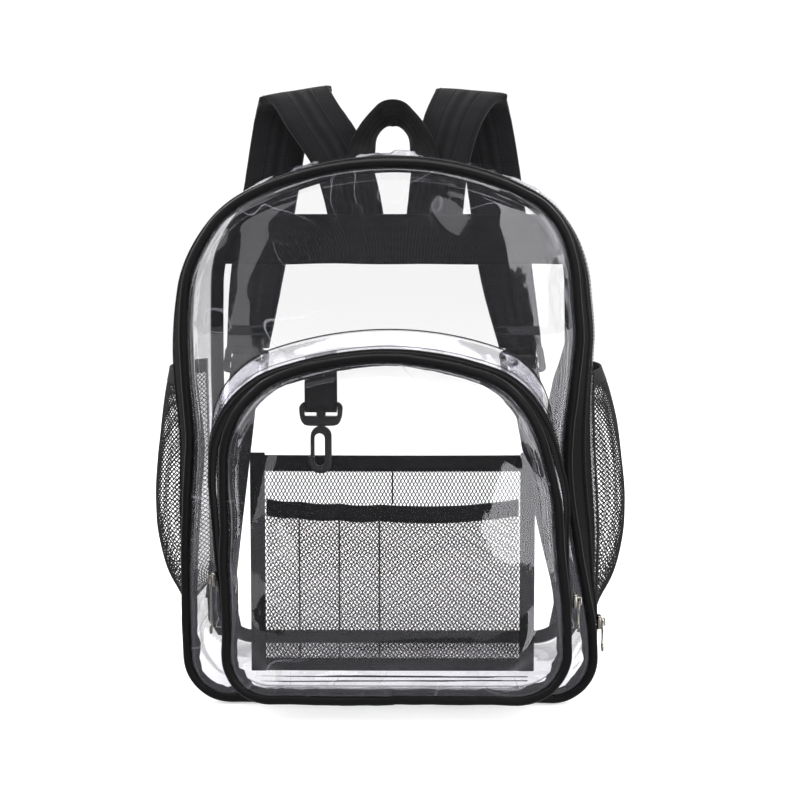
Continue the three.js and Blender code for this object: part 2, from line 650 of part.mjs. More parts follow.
// Organizer: a bound net panel on the front panel, with a pouch of net sewn over its lower part
function frontPatch(xs, zs, set, thickness, bulge = () => 0) {
  const grid = zs.map((z) => xs.map((x) => {
    return new THREE.Vector3(x, frontY(x, z) - WALL / 2 - set - bulge(x, z), z);
  }));
  return sheet(grid, () => new THREE.Vector3(0, 1, 0), thickness);
}

const inner = {
  half: ORGANIZER.half - ORGANIZER.sideBand,
  base: ORGANIZER.base + ORGANIZER.baseBand,
  top: ORGANIZER.top - ORGANIZER.topBand,
};
const setBack = SEAM + ORGANIZER.thick / 2;
const wholePatch = frontPatch(
  span(-ORGANIZER.half, ORGANIZER.half, 6), span(ORGANIZER.base, ORGANIZER.top, 4), setBack, ORGANIZER.thick);
const opening = plate(roundedBox(2 * inner.half, inner.top - inner.base, 1), DEPTH, 1);
opening.translate(0, FRONT, (inner.base + inner.top) / 2);
add("organizer_frame", cut(wholePatch, opening), CLOTH_BLACK);
const windowXs = span(SEAM - inner.half, inner.half - SEAM, 6);
const windowZs = span(inner.base + SEAM, inner.top - SEAM, 4);
add("organizer_back_mesh", frontPatch(windowXs, windowZs, setBack, NET), NET_BLACK);

// The pouch bulges between its upright seams and lies close to the back net at them
const pouchXs = POUCH_SEAMS.flatMap(({ from, to, steps }, k) => span(from, to, steps).slice(k > 0 ? 1 : 0));

function pouchBulge(x, z) {
  const row = POUCH_SEAMS.find(({ to }) => x <= to);
  const round = Math.sin(Math.PI * (x - row.from) / (row.to - row.from));
  const up = Math.min(1, (z - inner.base) / (HEM.base - inner.base) * 2.2);
  return row.bulge * round * Math.sqrt(Math.max(0, up));
}

const pouchSet = setBack + ORGANIZER.thick / 2 + SEAM + POUCH_NET;
add("organizer_front_mesh", frontPatch(
  pouchXs, span(inner.base, HEM.base - HEM.sag - SEAM, 5), pouchSet, POUCH_NET, pouchBulge), NET_BLACK);
add("organizer_hem", frontPatch(
  pouchXs, [HEM.base - HEM.sag, HEM.top - HEM.sag], pouchSet, HEM.thick, pouchBulge), CLOTH_BLACK);

// Key strap folded round the top bar of the hook's base
const barThick = (HOOK_BASE.height - HOOK_SLOT.height) / 2 - HOOK_SLOT.up;
const barZ = HOOK_BASE.z + HOOK_BASE.height / 2 - barThick / 2;
const foldInner = Math.hypot(barThick, HOOK_BASE.thick) / 2 + SEAM;
const foldOuter = foldInner + KEY.strapThick;

function keyStrap() {
  const shape = new THREE.Shape();
  const height = KEY.strapTop - barZ;
  shape.moveTo(foldOuter, 0);
  shape.lineTo(foldOuter, height / 3);
  shape.lineTo(KEY.strapThick, height);
  shape.lineTo(-KEY.strapThick, height);
  shape.lineTo(-foldOuter, height / 3);
  shape.lineTo(-foldOuter, 0);
  shape.absarc(0, 0, foldOuter, Math.PI, Math.PI * 2);
  const bore = new THREE.Path();
  bore.absarc(0, 0, foldInner, 0, Math.PI * 2, true);
  shape.holes.push(bore);
  const geometry = plate(shape, KEY.strapWidth, 8);
  geometry.rotateZ(Math.PI / 2);
  const position = geometry.attributes.position;
  for (let i = 0; i < position.count; i += 1) {
    if (position.getZ(i) > height / 2) {
      position.setZ(i, position.getZ(i) + KEY.slope * position.getX(i));
    }
  }
  return geometry.translate(KEY.x, KEY.y, barZ);
}
add("key_strap", keyStrap(), CLOTH_BLACK);

function upright(radius, height, z) {
  const geometry = new THREE.CylinderGeometry(radius, radius, height, SWIVEL.sides);
  return geometry.rotateX(Math.PI / 2).translate(0, 0, z);
}

// Base of the hook: a flat loop with two ears beside the strap and a narrower, bored lower bar
function earedLoop() {
  const { width, foot, height, corner } = HOOK_BASE;
  const [half, rise] = [width / 2, height / 2];
  const shape = new THREE.Shape();
  shape.moveTo(-foot / 2, -rise);
  shape.lineTo(foot / 2, -rise);
  shape.quadraticCurveTo(half, -rise, half, rise - corner);
  shape.absarc(half - corner, rise - corner, corner, 0, Math.PI / 2);
  shape.absarc(corner - half, rise - corner, corner, Math.PI / 2, Math.PI);
  shape.quadraticCurveTo(-half, -rise, -foot / 2, -rise);
  return shape;
}
const baseShape = earedLoop();
baseShape.holes.push(hole(HOOK_SLOT.width, HOOK_SLOT.height, 0, HOOK_SLOT.up));
const slotFloor = HOOK_SLOT.up - HOOK_SLOT.height / 2;
const bore = upright(SWIVEL.hole, HOOK_BASE.height, slotFloor - HOOK_BASE.height / 2);
const hookBase = cut(plate(baseShape, HOOK_BASE.thick), bore);
add("hook_base", hookBase.translate(KEY.x, KEY.y, HOOK_BASE.z), PLASTIC_BLACK);

// Hook: a loop with a springing gate on the left, a post through the base and a head above its bar
function keyHook() {
  const { width, height, thick, gate, arm, base, corner, mouth } = HOOK;
  const shape = roundedBox(width, height, corner);
  const [x0, x1] = [gate - width / 2, width / 2 - arm];
  const [y0, y1] = [base - height / 2, height / 2 - base];
  const round = (x1 - x0) / 2;
  const eye = new THREE.Path();
  eye.absarc((x0 + x1) / 2, y0 + round, round, 0, Math.PI, true);
  eye.absarc((x0 + x1) / 2, y1 - round, round, Math.PI, 0, true);
  shape.holes.push(eye);
  const loop = plate(shape, thick, 6);
  const slitLine = hole(gate * 3, mouth, x0 - gate / 2, y0 + corner).getPoints();
  const slit = plate(new THREE.Shape(slitLine), thick * 2);
  const middle = -HOOK_BASE.height / 2 - HOOK_STEM_GAP - height / 2;
  const stemBase = middle + height / 2 - base / 2;
  const headBase = slotFloor + HOOK_STEM_GAP;
  const stem = upright(SWIVEL.post, headBase - stemBase, (headBase + stemBase) / 2);
  const head = upright(SWIVEL.head, SWIVEL.headHeight, headBase + SWIVEL.headHeight / 2);
  const body = cut(loop, slit).translate(0, 0, middle);
  const knob = new THREE.BoxGeometry(HOOK_KNOB.width, HOOK_KNOB.thick, HOOK_KNOB.height);
  knob.translate(-width / 2, 0, middle - HOOK_KNOB.down);
  return joined(body, stem, head, knob);
}
add("key_hook", keyHook().translate(KEY.x, KEY.y, HOOK_BASE.z), PLASTIC_BLACK);

// Slider: a rounded body on the tape with a bridge; its outward side is +Z before it is placed
function slider() {
  const { width, height, thick, corner } = SLIDER;
  const { leg, reach, stand, gap } = BRIDGE;
  const body = new THREE.ExtrudeGeometry(
    roundedBox(width, height, corner), { depth: thick, bevelEnabled: false, curveSegments: 3 });
  const arch = new THREE.Shape();
  arch.moveTo(-reach, -thick / 2);
  arch.lineTo(reach, -thick / 2);
  arch.lineTo(reach, stand - leg / 2);
  arch.lineTo(reach - leg / 2, stand);
  arch.lineTo(leg / 2 - reach, stand);
  arch.lineTo(-reach, stand - leg / 2);
  arch.holes.push(hole(2 * (reach - leg), gap, 0, gap / 2));
  const staple = new THREE.ExtrudeGeometry(arch, { depth: BRIDGE.width, bevelEnabled: false });
  staple.translate(0, 0, -BRIDGE.width / 2).rotateX(Math.PI / 2).rotateZ(Math.PI / 2).translate(0, 0, thick);
  return joined(body, staple);
}

// Pull: a bar under the bridge, a window round it, a stem and a ring; it hangs along -Y from the bar
function pull(length) {
  const { thick, bar, width, stem, ring, eye } = PULL;
  const neck = bar / 2 + PULL_WINDOW.height + bar;
  const shape = new THREE.Shape();
  const half = width / 2;
  const ringY = ring - length;
  const turn = Math.asin(stem / 2 / ring);
  shape.moveTo(-half, bar / 2);
  shape.lineTo(-half, -neck);
  shape.lineTo(-stem / 2, -neck - half + stem / 2);
  shape.absarc(0, ringY, ring, Math.PI / 2 + turn, Math.PI * 2.5 - turn);
  shape.lineTo(stem / 2, -neck - half + stem / 2);
  shape.lineTo(half, -neck);
  shape.lineTo(half, bar / 2);
  const hub = new THREE.Path();
  hub.absarc(0, ringY, eye, 0, Math.PI * 2, true);
  shape.holes.push(hub, hole(PULL_WINDOW.width, PULL_WINDOW.height, 0, -(bar + PULL_WINDOW.height) / 2));
  const geometry = new THREE.ExtrudeGeometry(shape, { depth: thick, bevelEnabled: false, curveSegments: 7 });
  return geometry.translate(0, 0, -thick / 2);
}

// Sliders sit on the coils at the sides of the bag, their outward side along +X or -X
function setOnSide(geometry, side, x, y, z) {
  geometry.rotateX(Math.PI / 2).rotateZ(side * Math.PI / 2);
  return geometry.translate(x, y, z);
}

const SLIDERS = [
  { name: "main", end: "", side: RIGHT, z: 60, length: PULL_SHORT },
  { name: "pocket", end: "_left", side: LEFT, z: 107, length: PULL_LONG },
  { name: "pocket", end: "_right", side: RIGHT, z: 91, length: PULL_SHORT },
];

// Outer face of the coil on one side at a height
function coilFace(name, side, z) {
  const clear = TAPE / 2 + COIL.height + 3 * SEAM;
  if (name === "main") {
    return { x: sideX(side, z, ZIP_SHARE.coil) + side * clear, y: FRONT + ZIP_SHARE.coil * DEPTH };
  }
  const stops = order.filter((index) => Math.sign(faceLoop[index].x) === side);
  const points = stops.map((index) => pocketPoint(index, coilShare, clear)).sort((a, b) => a.z - b.z);
  return { x: between(points, "z", "x", z), y: between(points, "z", "y", z) };
}

for (const { name, end, side, z, length } of SLIDERS) {
  const face = coilFace(name, side, z);
  const hinge = face.x + side * (SLIDER.thick + BRIDGE.gap / 2);
  add(`${name}_slider${end}`, setOnSide(slider(), side, face.x, face.y, z), NICKEL);
  add(`${name}_pull${end}`, setOnSide(pull(length), side, hinge, face.y, z), NICKEL);
}

// Set the base on the floor and the middle of the bag over the origin
const box = new THREE.Box3().setFromObject(group);
const middle = box.getCenter(new THREE.Vector3());
for (const mesh of group.children) {
  mesh.geometry.translate(-middle.x, -middle.y, -box.min.z);
}

export default group;
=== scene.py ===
import json
from collections import namedtuple
from math import atan2, cos, exp, hypot, pi, radians, sin, sqrt, tan, tau

import bmesh
import bpy
from mathutils import Matrix, Vector, noise

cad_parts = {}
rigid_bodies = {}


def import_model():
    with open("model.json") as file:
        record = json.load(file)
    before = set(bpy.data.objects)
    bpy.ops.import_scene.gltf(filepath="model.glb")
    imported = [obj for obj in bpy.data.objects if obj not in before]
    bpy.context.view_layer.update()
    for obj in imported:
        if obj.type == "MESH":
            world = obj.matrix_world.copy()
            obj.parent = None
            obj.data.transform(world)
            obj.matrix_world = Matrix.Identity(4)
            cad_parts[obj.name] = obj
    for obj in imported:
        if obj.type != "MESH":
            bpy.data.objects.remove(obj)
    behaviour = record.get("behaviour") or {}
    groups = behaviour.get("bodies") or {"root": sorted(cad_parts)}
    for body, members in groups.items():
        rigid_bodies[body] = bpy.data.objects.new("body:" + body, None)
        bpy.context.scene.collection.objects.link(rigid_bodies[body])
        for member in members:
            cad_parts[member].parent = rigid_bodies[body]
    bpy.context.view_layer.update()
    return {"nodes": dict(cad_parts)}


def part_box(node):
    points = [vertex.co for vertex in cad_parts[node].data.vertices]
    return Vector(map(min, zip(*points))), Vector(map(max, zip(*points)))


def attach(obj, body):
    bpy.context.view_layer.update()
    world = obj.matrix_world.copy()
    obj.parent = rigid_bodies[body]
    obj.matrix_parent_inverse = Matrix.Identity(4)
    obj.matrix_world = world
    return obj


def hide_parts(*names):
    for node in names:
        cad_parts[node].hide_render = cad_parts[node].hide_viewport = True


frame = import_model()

scene = bpy.context.scene

# Sizes of the bag in millimetres: the front faces -Y and the outlines lie in upright planes
Arch = namedtuple("Arch", "half base top corner shoulder crown")
Stop = namedtuple("Stop", "x z nx nz dent")
LEFT, RIGHT = -1, 1
SIDES = (("left", LEFT), ("right", RIGHT))
DEPTH = 150
FRONT = -75
BACK = 75
FILM = 0.6
SEAM = 0.35
MAIN = Arch(156, 4, 421, 32, 79, 250)
FRONT_CROWN = 5
BACK_CROWN = 4
# side, height, push out, reach
FRONT_DENTS = ((LEFT, 284, 8.5, 88), (LEFT, 110, 5.5, 190), (RIGHT, 355, -10.5, 75), (RIGHT, 240, -8.5, 125))
# the front seam's own dents, which fade over the part of the depth next to it
SEAM_DENTS, SEAM_REACH = ((LEFT, 250, -3, 160), (RIGHT, 170, -15, 130), (RIGHT, 312, -5.5, 80)), 0.25
# width over the middle where the left dents give way to the right ones
DENT_BLEND = 80
# share of the depth, then how far the gusset stands out at the sides, top and base, and its dents
GUSSET = (
    (0.0257, 1.5, 1.5, 1.0, 1.0),
    (0.1, 5.0, 4.0, 3.4, 0.95),
    (0.22, 8.5, 6.5, 3.4, 0.85),
    (0.45, 11.0, 10.0, 3.4, 0.55),
    (0.7, 10.0, 11.0, 3.4, 0.3),
    (0.9, 7.0, 10.5, 3.4, 0.15),
    (1.0, 4.5, 9.5, 1.0, 0.1),
)
OUT_SIDE, OUT_TOP, OUT_BASE, OUT_DENT = 1, 2, 3, 4
GUSSET_END = 0.988
ZIP_NEAR, ZIP_COIL, ZIP_FAR = 0.0257, 0.125, 0.215
# share of the depth where the main zip's tape starts, sewn in under the piping
ZIP_TUCK = 0.006
# height, reach and push of the slack that lets the main zip show beside the piping and meet its slider
ZIP_SLACK = {LEFT: ((225, 165, 3),), RIGHT: ((185, 120, 1), (66, 34, 1.7))}
# its middle and reach as shares of the depth
SLACK_MID, SLACK_REACH = 0.13, 0.2
# the gusset's sides stand out fully at one height and less above and below it
FULL_LEAST, FULL_AT, FULL_REACH = 0.55, 270, 260
# radius of the piping's cord, and thickness of a zip's tape
CORD, TAPE = 3.5, 1.2
BINDING_IN, BINDING_OUT, BINDING_THICK = -10.5, 1, 2.8

POCKET_FACE_Y = -120
POCKET_CROWN = 9
POCKET_BULGE, POCKET_TOP_BULGE = 3, -4
POCKET_FACE = Arch(131, 18, 276, 38, 67, 270)
POCKET_FOOT = Arch(136, 15, 294, 40, 70, 270)
POCKET_DENTS = ((LEFT, 245, 4, 80), (RIGHT, 238, -9, 85), (LEFT, 60, -7, 70))
FOOT_DENTS = ((RIGHT, 165, -8, 110),)
FACE_DENTS = ((LEFT, 145, -6.5, 90), (LEFT, 240, -10, 70), (RIGHT, 160, -7, 85), (RIGHT, 240, -10, 75))
POCKET_NEAR, POCKET_ZIP, POCKET_COIL, POCKET_FAR = 0.0085, 0.52, 0.72, 0.911
# height, reach and push of the slack in the pocket's zip, and its middle and reach along the depth
POCKET_SLACK = (182, 82, 5, 0.7, 0.5)

NET_NEAR, NET_FAR, NET_BASE, NET_TOP, NET_HEM = 0.25, 0.95, 62, 258, 11
NET_WIDE = 122
NET_BULGE = {LEFT: 30.5, RIGHT: 27}
# share of a side net's height, then the share of its bulge there on the left and on the right
NET_RISE = (
    (0, 0, 0), (0.06, 0.46, 0.46), (0.16, 0.8, 0.8), (0.32, 1, 1),
    (0.52, 0.98, 0.98), (0.75, 0.8, 0.78), (0.9, 0.58, 0.5), (1, 0.42, 0.24),
)

ORGANIZER_HALF, ORGANIZER_BASE, ORGANIZER_TOP = 110, 27, 197
SIDE_BAND, TOP_BAND, BASE_BAND = 11.5, 12.5, 10
POUCH_HALF, POUCH_TOP, POUCH_HEM, POUCH_SAG = 97, 151, 12, 4
# where a pen slot of the pouch starts and ends, and how far it bulges
POUCH = ((-97, -72, 4), (-72, -41, 5), (-41, -10, 5), (-10, 97, 9))
# distance between the yarns of a net, and their radius
NET_PITCH, BACK_STRAND, POUCH_STRAND = 2.5, 0.4, 0.27
SIDE_PITCH, SIDE_STRAND = 3.2, 0.45
# lean of the yarns, and how far one set lies over the other
SIDE_LEAN, BACK_LEAN, POUCH_LEAN, YARN_CROSS = 0.66, 1.08, 0.62, 0.18

YOKE_BASE, YOKE_TOP, YOKE_THICK = 340, 384, 1.6
# middle lines of the left and the right strap, distance behind the back seam, height, width and thickness
STRAP = (
    (-34, 35, 10.2, 350, 48, 5), (-35, 35.5, 11.4, 384, 49, 6), (-48, 41, 21.5, 430, 50, 10),
    (-73, 53, 29, 471, 50, 10), (-90, 69, 44, 492, 50, 8), (-103, 80, 62, 472, 50, 10),
    (-114, 91, 63, 410, 50, 11), (-126, 101, 47, 330, 48, 10), (-133, 113, 30, 264, 38, 8),
)
STRAP_CREST, CREST_LEAN = 492, {LEFT: 0.16, RIGHT: -0.08}
WEB = ((-135.5, 116.5, 24.5, 240, 26, 1.8), (-141, 125, 17, 185, 26, 1.8), (-150, 141, 9.5, 105, 26, 1.8),
       (-157, 157, 4.65, 40, 26, 1.8))
# corner patches under the lower webbing
PATCH = ((136, 8), (158, 8), (167, 22), (168, 56), (146, 60))
PATCH_BEHIND, PATCH_THICK = 2.55, 1.6
# middle line, distance behind the back seam, height, then the way the ribbon's width runs
HANDLE = (
    (-23, 6.3, 350, 1, 0, 0), (-25, 5.6, 386, 1, 0, 0), (-28.5, 7, 410, 1, 0.05, 0),
    (-28, 8.5, 434, 0.97, 0.2, -0.05), (-22, 11, 455, 0.5, 0.65, -0.5),
    (-11, 14.5, 469, 0.1, 0.6, -0.8), (0, 14.5, 473, 0, 0.37, -0.93),
)
HANDLE_X, HANDLE_WIDTH, HANDLE_THICK = -2, 25, 2
KEY_X, KEY_Y, KEY_TOP, KEY_WIDTH, KEY_THICK, KEY_SLOPE = -54, -94, 276.85, 24, 1.5, 0.2
HOOK_Z = 231
HOOK_BAR_Z, HOOK_BAR_ROUND = 238.6, 4.8

# The source's own axes are moved so that the bag stands on the floor over the origin
low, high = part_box("hook_base")
SHIFT = (low + high) / 2 - Vector((KEY_X, KEY_Y, HOOK_Z)) / 1000


def bell(t):
    return (1 - t * t) ** 2 if abs(t) < 1 else 0


def mix(a, b, part):
    return a + (b - a) * part


def ease(t):
    t = min(1, max(0, t))
    return t * t * (3 - 2 * t)


def smooth(rows, at, column=1):
    """Value of a column at a place between the rows of a table, on a smooth curve"""
    last = len(rows) - 1
    k = next((i for i in range(1, last) if rows[i][0] >= at), last)
    slope = lambda a, b: (rows[b][column] - rows[a][column]) / (rows[b][0] - rows[a][0])
    gap = rows[k][0] - rows[k - 1][0]
    t = min(1, max(0, (at - rows[k - 1][0]) / gap))
    start = slope(max(0, k - 2), k) * gap
    end = slope(k - 1, min(last, k + 1)) * gap
    return (rows[k - 1][column] * (1 + t * t * (2 * t - 3)) + start * (t * (1 - t) ** 2)
            + rows[k][column] * (t * t * (3 - 2 * t)) + end * (t * t * (t - 1)))


def ruffle(x, y, seed):
    return noise.noise(Vector((x, y, seed)))


# Outlines


def dent_at(dents, x, z):
    left, right = (
        side * sum(push * bell((z - mid) / reach) for s, mid, push, reach in dents if s == side)
        for side in (LEFT, RIGHT)
    )
    return mix(left, right, ease(x / DENT_BLEND + 0.5))


def outline(size, dents):
    """Stops round an arch: 0 at the middle of its base, 1 at its apex and 2 at the base again"""
    rise = sqrt((size.crown - size.shoulder) ** 2 - (size.half - size.shoulder) ** 2)
    turn = atan2(rise, size.half - size.shoulder)
    spring = size.top - size.crown + rise
    foot, knee = size.half - size.corner, size.base + size.corner
    arcs = (
        (foot, knee, size.corner, -pi / 2, 0),
        (size.half - size.shoulder, spring, size.shoulder, 0, turn),
        (0, size.top - size.crown, size.crown, turn, pi / 2),
    )
    lengths = [foot, size.corner * pi / 2, spring - knee] + [r * (b - a) for _, _, r, a, b in arcs[1:]]
    whole = sum(lengths)

    def stop(w):
        w %= 2
        side = RIGHT if w <= 1 else LEFT
        left, k = whole * (w if side == RIGHT else 2 - w), 0
        while k < 4 and left > lengths[k]:
            left -= lengths[k]
            k += 1
        part = left / lengths[k]
        if k == 0:
            x, z, nx, nz = foot * part, size.base, 0, -1
        elif k == 2:
            x, z, nx, nz = size.half, mix(knee, spring, part), 1, 0
        else:
            cx, cz, r, a, b = arcs[{1: 0, 3: 1, 4: 2}[k]]
            nx, nz = cos(mix(a, b, part)), sin(mix(a, b, part))
            x, z = cx + r * nx, cz + r * nz
        return Stop(side * x, z, side * nx, nz, dent_at(dents, side * x, z))

    stop.length = 2 * whole
    stop.marks = [sum(lengths[:k + 1]) / whole for k in range(5)]
    return stop


main_edge = outline(MAIN, FRONT_DENTS + SEAM_DENTS)
face_edge = outline(POCKET_FACE, POCKET_DENTS + FACE_DENTS)
foot_edge = outline(POCKET_FOOT, POCKET_DENTS + FOOT_DENTS)
MAIN_ZIP = main_edge.marks[1]
POCKET_ZIP_END = mix(face_edge.marks[1], face_edge.marks[2], 1 / 6)


def fullness(z):
    return mix(FULL_LEAST, 1, bell((z - FULL_AT) / FULL_REACH))


# places round the outline that crease, and the reach of their creases
TOP_CREASED, CORNER, CORNER_CREASED = 0.34, 0.2, 0.16


def crumple(w, share):
    """Creases of the slack film over the top of the gusset and at its lower corners"""
    top = bell((w - 1) / TOP_CREASED)
    low = bell((w - CORNER) / CORNER_CREASED) + bell((2 - w - CORNER) / CORNER_CREASED)
    loose = ease((share - 0.22) / 0.2) * ease((0.99 - share) / 0.12)
    along, deep = w * main_edge.length / 2, share * DEPTH
    fold = ruffle(along / 34 + deep / 90, deep / 46, 3.1)
    fold += 0.5 * ruffle(along / 13, deep / 30 + along / 40, 7.7)
    sharp = 0.5 - abs(ruffle(along / 21 - deep / 37, deep / 26 + along / 90, 2.9))
    return loose * ((3.6 * top + 1.6 * low + 0.9) * fold + (3.4 * top + 1.4 * low) * sharp)


def gusset_point(stop, share, lift=0):
    """Point of the main gusset at a stop of the outline and a share of the depth"""
    side = stop.nx ** 2 * smooth(GUSSET, share, OUT_SIDE) * fullness(stop.z)
    level = stop.nz ** 2 * smooth(GUSSET, share, OUT_TOP if stop.nz > 0 else OUT_BASE)
    rows = ZIP_SLACK[LEFT if stop.x < 0 else RIGHT]
    slack = sum(push * bell((stop.z - height) / reach) for height, reach, push in rows)
    slack *= stop.nx ** 2 * bell((share - SLACK_MID) / SLACK_REACH)
    out = lift + side + level + slack
    seam = dent_at(SEAM_DENTS, stop.x, stop.z)
    dent = (stop.dent - seam) * smooth(GUSSET, share, OUT_DENT) + seam * max(0, 1 - share / SEAM_REACH)
    return Vector((stop.x + dent + stop.nx * out, FRONT + share * DEPTH, stop.z + stop.nz * out))


def back_edge(w):
    stop = main_edge(w)
    x, _, z = gusset_point(stop, 1)
    return Stop(x, z, stop.nx, stop.nz, 0)


back_edge.marks, back_edge.length = main_edge.marks, main_edge.length


def pocket_point(w, share, lift=0):
    """Point of the pocket's gusset at a place round it and a share of its depth from the front panel"""
    foot, face = foot_edge(w), face_edge(w)
    side, up = (mix(foot[k], face[k], share) for k in (2, 3))
    height, reach, push, middle, spread = POCKET_SLACK
    slack = push * side ** 2 * bell((share - middle) / spread) * bell((foot.z - height) / reach)
    bulge = mix(POCKET_BULGE, POCKET_TOP_BULGE, max(0, face.nz) ** 2)
    out = lift + bulge * 4 * share * (1 - share) + slack
    near = front_y(foot.x + foot.dent, foot.z) - FILM / 2
    return Vector((mix(foot.x + foot.dent, face.x + face.dent, share) + side * out,
                   mix(near, POCKET_FACE_Y, share), mix(foot.z, face.z, share) + up * out))


# Panels: domes with slack ripples, held flat along their seams


def dome(size, x, z):
    middle = (size.base + size.top) / 2
    return max(0, 1 - (x / size.half) ** 2) * max(0, 1 - ((z - middle) / (size.top - middle)) ** 2)


def set_in(size, x, z):
    """Distance in from an arch's outline"""
    crown = size.crown - hypot(x, z - size.top + size.crown)
    return max(0, min(size.half - abs(x), z - size.base, crown))


def held(size, x, z, start, reach):
    """0 along an arch's seam and 1 where its film is free"""
    return ease((set_in(size, x, z) - start) / reach)


def ripple(rows, x, z):
    return sum(high * ruffle(x / wide, z / tall, seed) for high, wide, tall, seed in rows)


def turned(x, z, turn):
    return x * cos(turn) + z * sin(turn), z * cos(turn) - x * sin(turn)


def swell(rows, x, z):
    total = 0
    for mid_x, mid_z, push, long, wide, turn in rows:
        a, b = turned(x - mid_x, z - mid_z, turn)
        total += push * exp(-(a / long) ** 2 - (b / wide) ** 2)
    return total


def tent(rows, x, z):
    """Straight ridges where the film was once folded, each with two flat slopes"""
    total = 0
    for mid_x, mid_z, push, long, near, far, turn in rows:
        a, b = turned(x - mid_x, z - mid_z, turn)
        slope = hypot(b, RIDGE_ROUND) / (near if b > 0 else far)
        total += push * max(0, 1 - slope) * bell(a / long)
    return total


RIDGE_ROUND = 1.5
# middle, height, push to the front, length and width of a swell, and its turn
FRONT_SWELLS = (
    (-112, 330, 3, 60, 26, 1.35),
    (20, 388, -3, 70, 16, 0.1),
    (125, 250, 3, 60, 20, -1.45),
    (-140, 180, 3, 90, 16, 1.5),
    (-92, 318, 0.8, 26, 6, 0.5),
    (-84, 300, -0.7, 24, 5, 0.7),
    (-70, 392, 1.2, 30, 5, 0.45),
    (58, 392, -1.2, 26, 5, -0.4),
)
POCKET_SWELLS = (
    (-92, 200, 3, 60, 18, 1.1),
    (10, 52, 3, 90, 12, 0.05),
    (-95, 70, 3, 50, 14, -0.8),
    (100, 60, 3, 50, 14, 0.9),
    (96, 205, 1.5, 22, 6, -0.9),
)
# middle, height, push to the front, length, the reach of each slope, and the turn of a ridge
FRONT_RIDGES = (
    (-100, 345, 5, 120, 60, 90, 0.93),
    (86, 325, 5, 150, 60, 66, 1.62),
    (62, 392, 3, 60, 22, 30, -0.9),
    (-20, 398, 2, 60, 14, 22, 0.25),
    (-104, 300, 0.9, 42, 8, 14, 0.6),
    (-118, 350, 0.8, 40, 10, 12, 1.3),
)
POCKET_RIDGES = (
    (76, 160, 1.2, 130, 60, 48, 1.6),
    (-84, 190, 3, 90, 46, 50, 1.2),
    (-92, 52, 1.6, 46, 8, 12, -0.75),
    (-70, 40, 1.3, 44, 7, 9, -0.3),
    (-104, 76, 1.4, 40, 7, 10, -1.15),
    (92, 50, 1.6, 46, 12, 8, 0.7),
    (60, 38, 1.3, 50, 8, 8, 0.2),
    (0, 34, 1.2, 70, 7, 9, 0.04),
)
# height, width, length and seed of the film's ripples
FRONT_RIPPLES = ((1.5, 70, 85, 1.3), (0.45, 28, 40, 5.2))
BACK_RIPPLES = ((1.1, 75, 95, 9.4),)
POCKET_RIPPLES = ((1.4, 60, 70, 2.6), (0.4, 22, 30, 8.3))
# share of its slack that the front panel loses inside the pocket, and the way over which it does
POCKET_CALM, CALM_REACH = 0.85, 25
# the back panel lies flat under the yoke
YOKE_CALM_AT, YOKE_CALM_REACH = 358, 50


def front_y(x, z):
    return FRONT - FRONT_CROWN * dome(MAIN, x, z)


def slack_film(size, swells, ripples, ridges, reach, x, z):
    slack = held(size, x, z, 4, reach) * (swell(swells, x, z) + ripple(ripples, x, z))
    return slack + held(size, x, z, 3, 14) * tent(ridges, x, z)


def front_film(x, z):
    slack = slack_film(MAIN, FRONT_SWELLS, FRONT_RIPPLES, FRONT_RIDGES, 45, x, z)
    inside = held(POCKET_FOOT, x, z, -CALM_REACH, CALM_REACH) if z < POCKET_FOOT.top else 0
    return front_y(x, z) - slack * (1 - POCKET_CALM * inside)


def back_film(x, z):
    slack = ripple(BACK_RIPPLES, x, z) * (1 - bell((z - YOKE_CALM_AT) / YOKE_CALM_REACH))
    return BACK + BACK_CROWN * dome(MAIN, x, z) + held(MAIN, x, z, 10, 40) * slack


def pocket_film(x, z):
    slack = slack_film(POCKET_FACE, POCKET_SWELLS, POCKET_RIPPLES, POCKET_RIDGES, 38, x, z)
    return POCKET_FACE_Y - POCKET_CROWN * dome(POCKET_FACE, x, z) - slack


# Meshes


def in_frame(point):
    return Vector(point) / 1000 + SHIFT


def skin(across, along, place, flat=(1, 1), closed=False):
    """Grid whose corners are moved to their places, with a UV map in the cut's own millimetres"""
    bm = bmesh.new()
    bmesh.ops.create_grid(bm, x_segments=across, y_segments=along, size=0.5)
    sheet_map = bm.loops.layers.uv.new("UVMap")
    for face in bm.faces:
        for loop in face.loops:
            u, v = loop.vert.co.x + 0.5, loop.vert.co.y + 0.5
            loop[sheet_map].uv = (u * flat[0] / 1000, v * flat[1] / 1000)
    for vert in bm.verts:
        vert.co = in_frame(place(vert.co.x + 0.5, vert.co.y + 0.5))
    if closed:
        bmesh.ops.remove_doubles(bm, verts=bm.verts, dist=1e-6)
        rims = [edge for edge in bm.edges if edge.is_boundary]
        if rims:
            bmesh.ops.edgeloop_fill(bm, edges=rims)
        bmesh.ops.recalc_face_normals(bm, faces=bm.faces)
    return bm


def threads(runs, radius):
    """Thin strands along runs of points, as one mesh of closed tubes"""
    curve = bpy.data.curves.new("strand", "CURVE")
    curve.dimensions, curve.use_fill_caps = "3D", True
    curve.bevel_depth, curve.bevel_resolution = radius / 1000, 0
    for run in runs:
        spline = curve.splines.new("POLY")
        spline.points.add(len(run) - 1)
        spline.points.foreach_set("co", [c for point in run for c in (*in_frame(point), 1)])
    holder = bpy.data.objects.new("strand", curve)
    mesh = bpy.data.meshes.new_from_object(holder)
    bm = bmesh.new()
    bm.from_mesh(mesh)
    bmesh.ops.remove_doubles(bm, verts=bm.verts, dist=1e-7)
    for unused in (holder, curve, mesh):
        bpy.data.batch_remove([unused])
    return bm


STITCH_RISE = 0.35


